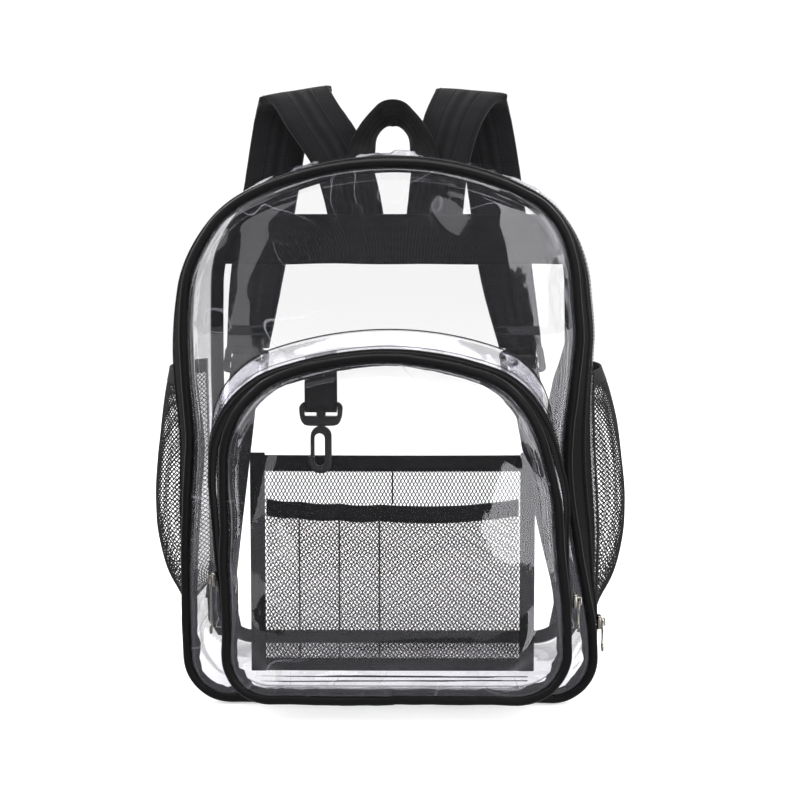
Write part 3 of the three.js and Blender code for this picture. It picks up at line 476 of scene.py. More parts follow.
def stitches(length, place, pitch=3.4, long=2.6):
    """Runs of single stitches along a seam: place gives the point at a share of it and a lift"""
    count = max(1, round(length / pitch))
    part = long / pitch / 2
    return [[place((k + 0.5 + way * part) / count, STITCH_RISE * (1 - abs(way))) for way in (-1, 0, 1)]
            for k in range(count)]


def slanting(width, height, pitch, lean, place, step):
    """Two sets of slanting strands over a sheet, cut off at its edges"""
    runs = []
    reach = height / tan(lean)
    for way in (1, -1):
        start = -reach if way > 0 else 0
        for k in range(int((width + reach) * sin(lean) / pitch)):
            foot = start + (k + 0.5) * pitch / sin(lean)
            ends = sorted(min(1, max(0, way * (edge - foot) / reach)) for edge in (0, width))
            if (ends[1] - ends[0]) * height < pitch:
                continue
            count = max(2, round((ends[1] - ends[0]) * height / step))
            heights = [mix(*ends, i / count) for i in range(count + 1)]
            runs.append([place((foot + way * v * reach) / width, v, way) for v in heights])
    return runs


def linked(name, data):
    obj = bpy.data.objects.new(name, data)
    scene.collection.objects.link(obj)
    return obj


def made(name, bm, finish):
    mesh = bpy.data.meshes.new(name)
    bm.to_mesh(mesh)
    bm.free()
    mesh.materials.append(finish)
    return linked(name, mesh)


def piece(name, bm, finish, stands_for="", body="bag", thick=0, soften=0):
    """Object on its body, in place of the solid that it stands for"""
    obj = made(name, bm, finish)
    obj.data.shade_smooth()
    if thick:
        wall = obj.modifiers.new("thickness", "SOLIDIFY")
        wall.thickness, wall.offset = thick / 1000, 0
    if soften:
        edge = obj.modifiers.new("soft_edges", "BEVEL")
        edge.width, edge.segments, edge.harden_normals = soften / 1000, 3, True
        edge.limit_method, edge.angle_limit = "ANGLE", radians(40)
    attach(obj, body)
    if stands_for:
        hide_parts(stands_for)
    return obj


def moulded(name, finish, soften, body="bag"):
    """Rigid node again, with its faces joined and its edges rounded as they leave the mould"""
    bm = bmesh.new()
    bm.from_mesh(frame["nodes"][name].data)
    bmesh.ops.remove_doubles(bm, verts=bm.verts, dist=1e-6)
    bmesh.ops.dissolve_limit(bm, angle_limit=radians(2), verts=bm.verts, edges=bm.edges)
    piece(name + "_moulded", bm, finish, name, body, soften=soften)


# Finishes


def linear(code):
    """Colour of an sRGB hex code"""
    parts = [int(code[i:i + 2], 16) / 255 for i in (1, 3, 5)]
    return (*[c / 12.92 if c <= 0.04045 else ((c + 0.055) / 1.055) ** 2.4 for c in parts], 1)


def node(tree, kind, settings=(), **sockets):
    """Node with its settings, its values and its links; socket names have _ for a space"""
    made = tree.nodes.new("ShaderNode" + kind)
    for key, value in dict(settings).items():
        setattr(made, key, value)
    for key, value in sockets.items():
        socket = made.inputs[int(key[1:]) if key[1:].isdigit() else key.replace("_", " ")]
        if isinstance(value, bpy.types.NodeSocket):
            tree.links.new(value, socket)
        else:
            socket.default_value = value
    return made


def maths(tree, operation, *parts):
    sockets = {f"i{k}": part for k, part in enumerate(parts)}
    return node(tree, "Math", {"operation": operation}, **sockets).outputs[0]


def set_values(shader, **values):
    for key, value in values.items():
        shader.inputs[key.replace("_", " ")].default_value = value


def new_finish(name):
    finish = bpy.data.materials.new(name)
    finish.use_nodes = True
    return finish, finish.node_tree, finish.node_tree.nodes["Principled BSDF"]


# Blender's wave texture repeats after this length at a scale of 1
WAVE_PERIOD = tau / 20


def woven(name, dark, pale, across, along, relief, roughness, chevron=0, sheen=0.05):
    """Cloth whose threads follow the piece's own map: across and along are thread spacings in millimetres"""
    finish, tree, shader = new_finish(name)
    place = node(tree, "TexCoord").outputs["UV"]
    axes = node(tree, "SeparateXYZ", Vector=place)
    line = axes.outputs["Y"]
    if chevron:
        line = maths(tree, "ADD", line, maths(tree, "PINGPONG", axes.outputs["X"], chevron / 1000))
    grid = node(tree, "CombineXYZ", X=axes.outputs["X"], Y=line).outputs[0]
    warp, weft = (
        node(tree, "TexWave", {"bands_direction": way}, Vector=grid, Scale=WAVE_PERIOD * 1000 / spacing,
             Distortion=0.4, Detail=1.0).outputs["Fac"]
        for way, spacing in (("X", across), ("Y", along))
    )
    threads_up = maths(tree, "MULTIPLY", warp, weft)
    tone_marks = node(tree, "TexNoise", Vector=place, Scale=60.0, Detail=4.0)
    colours = node(tree, "ValToRGB", Fac=maths(tree, "MULTIPLY", threads_up, tone_marks.outputs["Fac"]))
    colours.color_ramp.elements[0].color = linear(dark)
    colours.color_ramp.elements[1].color = linear(pale)
    bump = node(tree, "Bump", Height=threads_up, Distance=relief / 1000, Strength=0.8)
    tree.links.new(colours.outputs["Color"], shader.inputs["Base Color"])
    tree.links.new(bump.outputs["Normal"], shader.inputs["Normal"])
    set_values(shader, Roughness=roughness, Specular_IOR_Level=0.2, Sheen_Weight=sheen, Sheen_Roughness=0.4)
    return finish


def grained(name, colour, roughness, grit, relief, metallic=0, shine=0.3):
    """Solid surface with a fine grain: grit is the spacing of the grain in millimetres"""
    finish, tree, shader = new_finish(name)
    place = node(tree, "TexCoord").outputs["Object"]
    grain = node(tree, "TexNoise", Vector=place, Scale=1000 / grit, Detail=3.0)
    spread = node(tree, "MapRange", Value=grain.outputs["Fac"], To_Min=roughness * 0.75,
                  To_Max=roughness * 1.3)
    bump = node(tree, "Bump", Height=grain.outputs["Fac"], Distance=relief / 1000, Strength=0.6)
    tree.links.new(spread.outputs["Result"], shader.inputs["Roughness"])
    tree.links.new(bump.outputs["Normal"], shader.inputs["Normal"])
    set_values(shader, Base_Color=linear(colour), Metallic=metallic, Specular_IOR_Level=shine)
    return finish


# how strongly the film mirrors, at most, how much milky grey is painted along its creases in place of their
# glints and shade, and how milky it is elsewhere
FILM_IOR, MIRROR_MOST, PAINTED_CREASE_MILK, FILM_MILK = 1.36, 0.48, 0.22, 0.003


def clear_film(name, tint, haze, roughness):
    """Calendered clear PVC: it mirrors the lamps in soft veils, and where its map of creases is high, grey
    crease lines are painted on it in place of the glints and shade of folded film
    """
    finish, tree, shader = new_finish(name)
    tree.nodes.remove(shader)
    place = node(tree, "TexCoord").outputs["Object"]
    peel = node(tree, "TexNoise", Vector=place, Scale=70.0, Detail=2.0)
    bump = node(tree, "Bump", Height=peel.outputs["Fac"], Distance=0.0004, Strength=0.3).outputs["Normal"]
    fresnel = node(tree, "Fresnel", IOR=FILM_IOR, Normal=bump)
    mirror = maths(tree, "MINIMUM", fresnel.outputs[0], MIRROR_MOST)
    gloss = node(tree, "BsdfGlossy", Color=linear("#fbfaff"), Roughness=roughness, Normal=bump)
    milk = node(tree, "BsdfDiffuse", Color=linear(haze))
    clear = node(tree, "BsdfTransparent", Color=linear(tint))
    # Painted crease lines: grey lines along a noise pattern, masked by the map of creases, stand in for the
    # glints and shade of folded film
    fold = node(tree, "TexNoise", Vector=place, Scale=11.0, Detail=2.0, Distortion=0.3)
    near = maths(tree, "ABSOLUTE", maths(tree, "SUBTRACT", fold.outputs["Fac"], 0.5))
    crease = node(tree, "MapRange", Value=near, From_Min=0.0, From_Max=0.0025, To_Min=PAINTED_CREASE_MILK, To_Max=0.0)
    painted_creases = node(tree, "Attribute", {"attribute_name": "painted_creases"})
    cloud = maths(tree, "MULTIPLY_ADD", crease.outputs[0], painted_creases.outputs["Fac"], FILM_MILK)
    body = node(tree, "MixShader", Fac=cloud, i1=clear.outputs[0], i2=milk.outputs[0])
    whole = node(tree, "MixShader", Fac=mirror, i1=body.outputs[0], i2=gloss.outputs[0])
    tree.links.new(whole.outputs[0], tree.nodes["Material Output"].inputs["Surface"])
    return finish


film = clear_film("clear_pvc_film", "#fefefe", "#d9d9e4", 0.05)
# Extruded vinyl over a cord: black, half gloss, with a slight grain
vinyl = grained("black_vinyl_piping", "#050506", 0.42, 1.2, 0.05, shine=0.14)
# Vinyl tape sewn in behind the film
flange_vinyl = grained("vinyl_seam_tape", "#151419", 0.45, 1.6, 0.08)
# Grosgrain: ribs across the tape
grosgrain = woven("grosgrain_binding", "#070708", "#19191b", 2.2, 1.4, 0.25, 0.8, sheen=0.02)
# Zip tape: a fine herringbone
zip_cloth = woven("herringbone_zip_tape", "#050506", "#131315", 1.2, 1.2, 0.2, 0.9, chevron=3, sheen=0)
# Oxford polyester: a plain weave, drawn coarser than its 0.5 mm threads so that it shows
oxford = woven("oxford_polyester", "#09090b", "#2a2a2f", 1.3, 1.0, 0.3, 0.82, sheen=0.08)
# Polypropylene webbing: a chevron weave with a dull shine
webbing = woven("polypropylene_webbing", "#09090a", "#1f1f21", 1.5, 1.5, 0.35, 0.6, chevron=6)
# Knitted polyester yarn: dull and black, so that a net reads as fine dark lines
net_yarn = grained("knitted_net_yarn", "#161618", 0.6, 0.8, 0.05)
# Nylon coil: a faint gleam on each loop
coil_nylon = grained("nylon_zip_coil", "#111112", 0.42, 0.9, 0.03)
# Moulded acetal: black with a soft gloss on its rounded edges
acetal = grained("moulded_black_acetal", "#101011", 0.4, 0.7, 0.03)
# Nickel-plated zinc: a grey metal that mirrors the lamps
nickel = grained("nickel_plated_zinc", "#8b8882", 0.2, 2.5, 0.02, metallic=1, shine=0.5)
# Sewing thread: dull, a little paler than the cloth, and white in the tacks
black_thread = grained("black_sewing_thread", "#1c1c1e", 0.6, 0.5, 0.03)
white_thread = grained("white_sewing_thread", "#d8d8d4", 0.65, 0.5, 0.03)

# Camera at the photograph's place
EYE = Vector((0.0171, -1.1265, 0.3701))
AIM = Vector((0.0088, -0.083, 0.301))
camera = linked("camera", bpy.data.cameras.new("camera"))
camera.data.lens, camera.data.sensor_width, camera.data.shift_y = 61.2, 36, -0.1
camera.matrix_world = Matrix.Translation(EYE) @ (AIM - EYE).to_track_quat("-Z", "Y").to_matrix().to_4x4()
scene.camera = camera

# Clear film


def beside(stop, out):
    """Place in an outline's plane, off one of its stops"""
    return stop.x + stop.dent + stop.nx * out, stop.z + stop.nz * out


# place round the outline where a panel's rows end, just short of the apex
PANEL_END = 0.992


def panel_place(edge, inset, depth_at):
    def place(u, v):
        w = mix(edge.marks[0], PANEL_END, v)
        x, z = (mix(a, b, u) for a, b in zip(beside(edge(2 - w), -inset), beside(edge(w), -inset)))
        return x, depth_at(x, z), z
    return place


def film_piece(name, across, along, place, flat, stands_for, painted_creases=lambda x, z: 0.5):
    """Sheet of film with a map of where grey crease lines are painted in place of the glints and shade of
    folds, from smooth at 0 to creased at 1
    """
    obj = piece(name, skin(across, along, place, flat), film, stands_for, thick=FILM)
    points = [(vert.co - SHIFT) * 1000 for vert in obj.data.vertices]
    tone_marks = obj.data.attributes.new("painted_creases", "FLOAT", "POINT")
    tone_marks.data.foreach_set("value", [painted_creases(p.x, p.z) for p in points])


# Where crease lines are painted in place of glints and shade: along the seams and round one spot
def painted_creases_at(size, start, reach, most, mid_x, mid_z, wide):
    spot = lambda x, z: most * bell(hypot(x - mid_x, z - mid_z) / wide)
    return lambda x, z: max(1 - held(size, x, z, start, reach), spot(x, z))


def rightward(stop):
    """1 on the right side of an outline and 0 elsewhere"""
    return ease(stop.nx * 2 - 0.6)


# width of a roll, its gain where it is fuller, its loss at the foot, and the fuller part's place
ROLL_WIDE, ROLL_GAIN, ROLL_LOSS, ROLL_AT, ROLL_REACH = 13, 9, 7, 328, 80


def film_roll(name, edge, plane, depth_at, stands_for):
    """Film standing up in a roll beside the piping before it lies flat"""
    def place(u, v):
        s = edge(2 * v)
        fuller = bell((s.z - ROLL_AT) / ROLL_REACH) * rightward(s)
        low = 1 - ease((s.z - 50) / 110)
        out = mix(1 - CORD, ROLL_LOSS * low - ROLL_WIDE - ROLL_GAIN * fuller, u)
        x, z = beside(s, out)
        high = 2.4 + 0.9 * ruffle(v * 26, 0.7, 3.8) + 0.5 * ruffle(v * 90, 0.2, 1.7)
        high = high * (1 - 0.8 * low) + fuller * (1.4 + 2.2 * ruffle(v * 120, u * 3, 2.9))
        level = mix(plane - FILM, depth_at(x, z) - FILM, ease(u * 1.4))
        return x, level - high * sin(pi * u ** 0.8) ** 1.3, z
    bm = skin(12, 420, place, (11, edge.length))
    bmesh.ops.remove_doubles(bm, verts=bm.verts, dist=1e-6)
    piece(name, bm, film, stands_for, thick=FILM / 2)


film_piece("front_film", 80, 130, panel_place(main_edge, CORD - 1, front_film), (312, 417),
           "front_panel", painted_creases_at(MAIN, 6, 40, 0.8, -104, 305, 70))
film_piece("back_film", 64, 100, panel_place(back_edge, 2, back_film), (320, 425),
           "back_panel", lambda x, z: 0)
film_piece("pocket_film", 76, 110, panel_place(face_edge, CORD - 1, pocket_film), (262, 261),
           "pocket_front", painted_creases_at(POCKET_FACE, 4, 26, 1, -112, 60, 60))
film_roll("front_film_roll", main_edge, FRONT, front_film, "front_panel")
film_roll("pocket_film_roll", face_edge, POCKET_FACE_Y, pocket_film, "pocket_front")


def gusset_film(near, start, end):
    def place(u, v):
        share, w = mix(near, GUSSET_END, u), mix(start, end, v)
        x, y, z = gusset_point(main_edge(w), share, crumple(w % 2, share))
        return x, y, max(z, FILM / 2)
    return place


film_piece("top_gusset_film", 34, 330, gusset_film(ZIP_FAR, MAIN_ZIP, 2 - MAIN_ZIP), (116, 970), "zip_gusset")
film_piece("base_gusset_film", 36, 170, gusset_film(ZIP_NEAR, -MAIN_ZIP, MAIN_ZIP), (144, 356), "base_gusset")


def pocket_strip(far, start, end):
    def place(u, v):
        share, w = mix(POCKET_NEAR, far, u), mix(start, end, v)
        slack = 0.8 * ruffle(w * 24, share * 3, 4.4) * bell(2 * u - 1)
        return pocket_point(w, share, slack)
    return place


film_piece("pocket_gusset_film", 10, 260, pocket_strip(POCKET_ZIP, POCKET_ZIP_END, 2 - POCKET_ZIP_END),
           (22, 640), "pocket_gusset")
film_piece("pocket_base_film", 14, 150, pocket_strip(POCKET_FAR, -POCKET_ZIP_END, POCKET_ZIP_END),
           (40, 340), "pocket_base")

# Piping with its seam tape


def wander(w):
    """How far a sewn edge strays from its line"""
    return 0.9 * ruffle(w * 9, 0.5, 6.1) + 0.4 * ruffle(w * 31, 2.5, 1.9)


def pucker(edge, w):
    """How much a seam tape puckers: most at the lower corners"""
    w %= 2
    near = bell((w - edge.marks[0] - 0.04) / 0.13) + bell((2 - w - edge.marks[0] - 0.04) / 0.13)
    return 0.25 + near


# width of a seam tape, its gain low down and at the sides, and the place of the wedge on the right
FLANGE, FLANGE_LOW, FLANGE_SIDE, WEDGE_AT, WEDGE_REACH = 3.2, 2.4, 3.2, 238, 75


def piping(name, edge, plane, wedge):
    """Cord round an outline with its seam tape: wedge is how much wider the tape is on the right"""
    def cord(u, v):
        s, a = edge(2 * v), tau * u
        radius = CORD + 0.12 * ruffle(v * 180, u * 2, 3.3)
        out = radius * cos(a) + wander(2 * v)
        x, z = beside(s, out)
        return x, plane + radius * sin(a), z

    def tape(u, v):
        s, folds = edge(2 * v), pucker(edge, 2 * v)
        wide = FLANGE + FLANGE_LOW * ease((300 - s.z) / 120)
        wide += FLANGE_SIDE * bell((s.z - 215) / 180) * abs(s.nx)
        wide += wedge * bell((s.z - WEDGE_AT) / WEDGE_REACH) * rightward(s)
        wide += folds * (2.4 * ruffle(v * 75, 0.3, 2.2) + 1.5 * ruffle(v * 190, 1.3, 4.1))
        x, z = beside(s, mix(1 - CORD, 1 - CORD - wide, u))
        return x, plane + 1.4 + u * folds * (1.1 * ruffle(v * 90, u, 5.5) + 0.5), z

    piece(name + "_cord", skin(16, 380, cord, (22, edge.length), True), vinyl, name)
    bm = skin(6, 460, tape, (9, edge.length))
    bmesh.ops.remove_doubles(bm, verts=bm.verts, dist=1e-6)
    piece(name + "_seam_tape", bm, flange_vinyl, name, thick=0.5)


piping("front_piping", main_edge, FRONT, 9)
piping("pocket_piping", face_edge, POCKET_FACE_Y, 0)


def band_ring(u, width, thick, square=0.35):
    """Flat section with rounded edges, as a point across and up"""
    a = tau * u
    power = lambda t: abs(t) ** square * (1 if t >= 0 else -1)
    return width / 2 * power(cos(a)), thick / 2 * power(sin(a))


def binding_place(u, v):
    a, b = band_ring(u, BINDING_OUT - BINDING_IN, BINDING_THICK)
    x, z = beside(back_edge(2 * v), a + (BINDING_OUT + BINDING_IN) / 2 + 0.4 * wander(2 * v + 0.7))
    return x, BACK + b * (1 + 0.1 * ruffle(v * 200, u, 2.7)), z


piece("back_binding_tape", skin(18, 420, binding_place, (26, back_edge.length), True), grosgrain,
      "back_binding")

# Zips: a woven tape with the coil's loops down its middle


# spacing and radius of a coil's loops, their reach to each side, and their heights over the tape
COIL_STEP, COIL_WIRE, COIL_OUT, COIL_IN, COIL_LOW, COIL_HIGH = 1.75, 0.5, 2.0, 0.5, 0.75, 1.75


def zip_piece(name, point, near, coil, far, start, end, depth, length):
    def cloth(u, v):
        share = mix(near, far, u)
        return point(mix(start, end, v), share, -0.25 * bell((share - coil) * depth / 5))

    bm = skin(10, 320, cloth, ((far - near) * depth, length))
    piece(name + "_cloth", bm, zip_cloth, name + "_tape", thick=TAPE * 0.6)
    count = round(length / COIL_STEP)
    rows = []
    for side in (LEFT, RIGHT):
        run = []
        for k in range(count):
            for part, across, lift in ((0.25, COIL_OUT, COIL_LOW), (0.75, -COIL_IN, COIL_HIGH)):
                w = mix(start, end, (k + part + 0.25 * side) / count)
                run.append(point(w, coil + side * across / depth, lift))
        rows.append(run)
    piece(name + "_loops", threads(rows, COIL_WIRE), coil_nylon, name + "_coil")


def main_zip_point(w, share, lift):
    return gusset_point(main_edge(w), share, lift)


zip_piece("main_zip", main_zip_point, ZIP_TUCK, ZIP_COIL, ZIP_FAR, MAIN_ZIP, 2 - MAIN_ZIP, DEPTH, 970)
zip_piece("pocket_zip", pocket_point, POCKET_ZIP, POCKET_COIL, POCKET_FAR, POCKET_ZIP_END, 2 - POCKET_ZIP_END,
          FRONT - POCKET_FACE_Y, 640)

# Back: yoke, straps, handle and lower webbing


def back_half(z):
    """Half width of the back inside its binding"""
    rows = [(s.z, s.x) for s in (back_edge(mix(main_edge.marks[1], 0.9, k / 40)) for k in range(41))]
    return smooth(rows, z) + BINDING_IN


YOKE_HALF = [back_half(mix(YOKE_BASE, YOKE_TOP, k / 4)) + 4 for k in range(5)]


def yoke_place(u, v):
    half = smooth([(k / 4, h) for k, h in enumerate(YOKE_HALF)], v)
    x = mix(-half, half, u)
    z = mix(YOKE_BASE, YOKE_TOP, v) + 1.2 * ruffle(u * 5, 0.2, 3.9) * (1 - v)
    hem = 0.35 * (bell((v - 0.06) * 8) + bell((v - 0.94) * 8))
    return x, BACK + BACK_CROWN * dome(MAIN, x, z) + FILM + SEAM + YOKE_THICK / 2 + hem, z


piece("yoke_cloth", skin(90, 16, yoke_place, (300, 45)), oxford, "yoke", thick=YOKE_THICK)


def band_place(rows, section, slanted=False):
    """Band through the rows of a table, its section square to its path or slanted the way its width runs"""
    keys = [k / (len(rows) - 1) for k in range(len(rows))]
    middle = [(k, Vector((x, BACK + behind, z))) for k, (x, behind, z, *_) in zip(keys, rows)]
    across_rows = [(k, Vector(row[5:8])) for k, row in zip(keys, rows)]
    sizes = [(k, *row[3:5]) for k, row in zip(keys, rows)]

    def place(u, v):
        along = (smooth(middle, min(1, v + 0.004)) - smooth(middle, max(0, v - 0.004))).normalized()
        across = smooth(across_rows, v).normalized()
        up = along.cross(across)
        across = across / up.length if slanted else (across - along * across.dot(along)).normalized()
        a, b = section(u, v, smooth(sizes, v, 1), smooth(sizes, v, 2))
        return smooth(middle, v) + across * a + up.normalized() * b
    return place


def level_rows(rows, side):
    return [((left if side == LEFT else right), *row, 1, 0, 0) for left, right, *row in rows]


def strap_rows(side):
    """Rows of a strap, whose width leans the way its crest does"""
    lean = CREST_LEAN[side]
    return [(*row[:5], 1, 0, lean * bell((row[2] - STRAP_CREST) / 60)) for row in level_rows(STRAP, side)]


def strap_section(side):
    """Padded strap: a sewn channel down the outer face and quilting on the face that lies on the body"""
    def section(u, v, width, thick):
        a, b = band_ring(u, width, thick, 0.36)
        edge = abs(a) / (width / 2)
        sewn = 1.1 * exp(-((a + side * 1.5) / 0.9) ** 2)
        hem = 0.35 * exp(-((edge - 0.88) / 0.03) ** 2)
        quilt = 0.5 * exp(-((v * 30 % 1 - 0.5) / 0.09) ** 2) * (1 - edge ** 4)
        sunk = hem + (sewn if b < 0 else quilt)
        b -= sunk * (1 if b > 0 else -1) * min(1, abs(b) / 1.5)
        return a * (1 + 0.006 * ruffle(v * 60, 1.1, 2.2)), b + 0.3 * ruffle(v * 26, a / 16, 7.1)
    return section


def flat_band(u, v, width, thick):
    return band_ring(u, width, thick, 0.3)


for word, side in SIDES:
    bm = skin(120, 230, band_place(strap_rows(side), strap_section(side), True), (120, 420), True)
    strap = piece("strap_pad_" + word, bm, oxford, "strap_" + word)
    bm = skin(20, 90, band_place(level_rows(WEB, side), flat_band), (54, 205), True)
    piece("lower_webbing_" + word, bm, webbing, "strap_web_" + word)
    moulded("strap_buckle_" + word, acetal, 0.9)
    bm = bmesh.new()
    rim = bmesh.ops.create_circle(bm, cap_ends=True, segments=len(PATCH), radius=0.01)["verts"]
    for vert, (x, z) in zip(rim, PATCH):
        vert.co = in_frame((side * x, BACK + PATCH_BEHIND, z))
    piece("corner_patch_" + word, bm, oxford, "strap_anchor_" + word, thick=PATCH_THICK)

handle_rows = [(x, behind, z, HANDLE_WIDTH, HANDLE_THICK, a, b, c) for x, behind, z, a, b, c in HANDLE]
handle_rows += [(-x, *row, -a, b, c) for x, *row, a, b, c in reversed(handle_rows[:-1])]
handle_rows = [(x + HANDLE_X, *row) for x, *row in handle_rows]
bm = skin(20, 180, band_place(handle_rows, flat_band), (52, 330), True)
piece("handle_ribbon", bm, webbing, "handle")

# Webbing through the adjusters: a loop on the strap's end, and the lower webbing over the middle bar
# place along the adjuster and off its plane, towards the bag
END_LOOP = ((15, 2.4), (10, 3.1), (7.2, 2.0), (6.6, 0), (7.2, -2.0), (10, -3.1), (15, -2.4))
RUN_LOOP = ((-15, 2.6), (-8, 3.2), (-5, 0.4), (-2.4, -3.2), (2.4, -3.2), (4.4, 0), (4.0, 3.4), (-4, 5.4),
            (-34, 4.6))
LOOP_THICK = 1.5


def adjuster_rows(side, path, width):
    column = 0 if side == LEFT else 1
    top, low = (Vector((row[column], BACK + row[2], row[3])) for row in (STRAP[-1], WEB[0]))
    run = (top - low).normalized()
    off = run.cross(Vector((1, 0, 0))).normalized() * -1
    points = [(top + low) / 2 + run * along + off * out for along, out in path]
    return [(x, y - BACK, z, width, LOOP_THICK, 1, 0, 0) for x, y, z in points]


for word, side in SIDES:
    for name, path, width in (("strap_end_loop_", END_LOOP, 27), ("adjuster_webbing_", RUN_LOOP, 25.5)):
        bm = skin(16, 60, band_place(adjuster_rows(side, path, width), flat_band), (54, 60), True)
        piece(name + word, bm, webbing)

# Stitching


def on_band(rows, across, out, slanted=False):
    """Line along a band's face: across is a share of its half width, out is measured from its middle"""
    return band_place(rows, lambda u, v, width, thick: (across * width / 2, out * (thick / 2 + u)), slanted)


def seam_line(place, start, end, length):
    return stitches(length, lambda t, rise: place(rise, mix(start, end, t)))


# half length of the yoke's seams, and how far in from the back's edge its binding is sewn
YOKE_SEWN, BINDING_SEWN = 140, 8.6
# radius of the thread on the back, along the zips, at the pocket's foot and in the tacks
BACK_THREAD, ZIP_THREAD, FOOT_THREAD, TACK_THREAD = 0.33, 0.3, 0.45, 0.4


def yoke_line(height):
    def place(t, rise):
        x = mix(-YOKE_SEWN, YOKE_SEWN, t)
        crown = BACK_CROWN * dome(MAIN, 0, height) * (1 - (x / MAIN.half) ** 2)
        return x, BACK + crown + 3.1 + rise, height
    return place


def binding_line(t, rise):
    x, z = beside(back_edge(2 * t), -BINDING_SEWN)
    return x, BACK + 1.5 + rise, z


sewn = []
for word, side in SIDES:
    for across, sink in ((-0.88, -0.75), (0.88, -0.75), (-side * 0.06, -0.95)):
        line = on_band(strap_rows(side), across, -1, True)
        sewn += seam_line(lambda rise, v: line(rise + sink, v), 0.16, 0.985, 410)
    for across in (-0.8, 0.8):
        sewn += seam_line(on_band(level_rows(WEB, side), across, 1), 0.9, 0.995, 20)
for height in (YOKE_BASE + 4, YOKE_TOP - 4):
    sewn += stitches(2 * YOKE_SEWN, yoke_line(height))
for side, ends in ((LEFT, (0.01, 0.12)), (RIGHT, (0.88, 0.99))):
    for across in (-0.82, 0.82):
        sewn += seam_line(on_band(handle_rows, across, side), *ends, 40)
sewn += stitches(back_edge.length, binding_line)
piece("back_stitching", threads(sewn, BACK_THREAD), black_thread)

sewn = []
for share in (POCKET_ZIP - 0.07, POCKET_ZIP + 0.04):
    sewn += stitches(620, lambda t, rise: pocket_point(
        mix(POCKET_ZIP_END, 2 - POCKET_ZIP_END, t), share, 0.7 + rise), 2.8)
for share in (ZIP_FAR - 0.012, ZIP_FAR + 0.02):
    sewn += stitches(960, lambda t, rise: main_zip_point(
        mix(MAIN_ZIP, 2 - MAIN_ZIP, t), share, 0.7 + rise), 3)
piece("zip_stitching", threads(sewn, ZIP_THREAD), black_thread)
foot_line = [pocket_point(k / 150, 0.012, 0.6) for k in range(301)]
level_part = [(x, y) for x, y, z in sorted(foot_line) if z < POCKET_FOOT.base + 1]
above = [[(x, y, POCKET_FOOT.base + up + 1.2 * ruffle(x / 45, up, 1.5)) for x, y in level_part]
         for up in (3.4, 7)]
piece("pocket_foot_seam", threads([foot_line, *above], FOOT_THREAD), black_thread)

# white tacks of the corner patches: their corners, and the place of their middle
TACK, TACK_X, TACK_Z = ((-6, -4), (5, -5), (-3, 7), (-6, -4)), 154, 20
TACK_Y = BACK + PATCH_BEHIND - PATCH_THICK / 2
tacks = []
for side in (LEFT, RIGHT):
    for (x0, z0), (x1, z1) in zip(TACK, TACK[1:]):
        tacks += stitches(hypot(x1 - x0, z1 - z0), lambda t, rise: (
            side * (TACK_X - mix(x0, x1, t)), TACK_Y - rise, TACK_Z + mix(z0, z1, t)), 2.4, 2.0)
piece("patch_tacks", threads(tacks, TACK_THREAD), white_thread)

# Side pockets: stretched net with an elastic hem


def side_x(side, z, share):
    stop_dent = dent_at(FRONT_DENTS, side * MAIN.half, z) * smooth(GUSSET, share, OUT_DENT)
    return side * (MAIN.half + smooth(GUSSET, share, OUT_SIDE) * fullness(z)) + stop_dent


def net_place(side, base, top):
    def place(u, v, way=0):
        share, z = mix(NET_NEAR, NET_FAR, u), mix(base, top, v)
        round_out = NET_BULGE[side] * sin(pi * u) * smooth(
            NET_RISE, (z - NET_BASE) / (NET_TOP - NET_BASE), 1 if side == LEFT else 2)
        gather = 0.8 * ruffle(u * 9, z / 30, 3.6) * sin(pi * u)
        out = 2 + round_out + gather + YARN_CROSS * way
        return side_x(side, z, share) + side * out, FRONT + share * DEPTH, z
    return place


for word, side in SIDES:
    hem_line = NET_TOP - NET_HEM
    runs = slanting(NET_WIDE, hem_line - NET_BASE, SIDE_PITCH, SIDE_LEAN,
                    net_place(side, NET_BASE, hem_line), 4)
    net = piece("side_net_" + word, threads(runs, SIDE_STRAND), net_yarn, "mesh_pocket_" + word)
    bm = skin(60, 8, net_place(side, hem_line - 1, NET_TOP), (NET_WIDE, NET_HEM + 1))
    piece("side_net_hem_" + word, bm, grosgrain, "mesh_hem_" + word, thick=1.6)
    rim = net_place(side, NET_BASE, NET_TOP)
    rims = [[rim(u, v / 40) for v in range(41)] for u in (0, 1)] + [[rim(u / 30, 0) for u in range(31)]]
    piece("side_net_rim_" + word, threads(rims, 1.1), black_thread)

# Organizer on the back wall of the front pocket


def patch_place(x, z, proud):
    return x, front_film(x, z) - FILM / 2 - proud, z


BAND_STEPS = 60


def bound_band(x0, x1, z0, z1, proud):
    wide, tall = x1 - x0, z1 - z0

    def place(u, v):
        a, b = (v, u) if wide > tall else (u, v)
        return patch_place(mix(x0, x1, a), mix(z0, z1, b), proud)
    return skin(4, BAND_STEPS, place, sorted((wide, tall)))


BANDS = (
    ("top", -ORGANIZER_HALF, ORGANIZER_HALF, ORGANIZER_TOP - TOP_BAND, ORGANIZER_TOP, 1.2),
    ("base", -ORGANIZER_HALF, ORGANIZER_HALF, ORGANIZER_BASE, ORGANIZER_BASE + BASE_BAND, 1.2),
    ("left", -ORGANIZER_HALF, SIDE_BAND - ORGANIZER_HALF, ORGANIZER_BASE, ORGANIZER_TOP + 2, 2.0),
    ("right", ORGANIZER_HALF - SIDE_BAND, ORGANIZER_HALF, ORGANIZER_BASE, ORGANIZER_TOP + 2, 2.0),
)
for word, *corners, proud in BANDS:
    piece("organizer_band_" + word, bound_band(*corners, proud), grosgrain, "organizer_frame",
          thick=0.9)

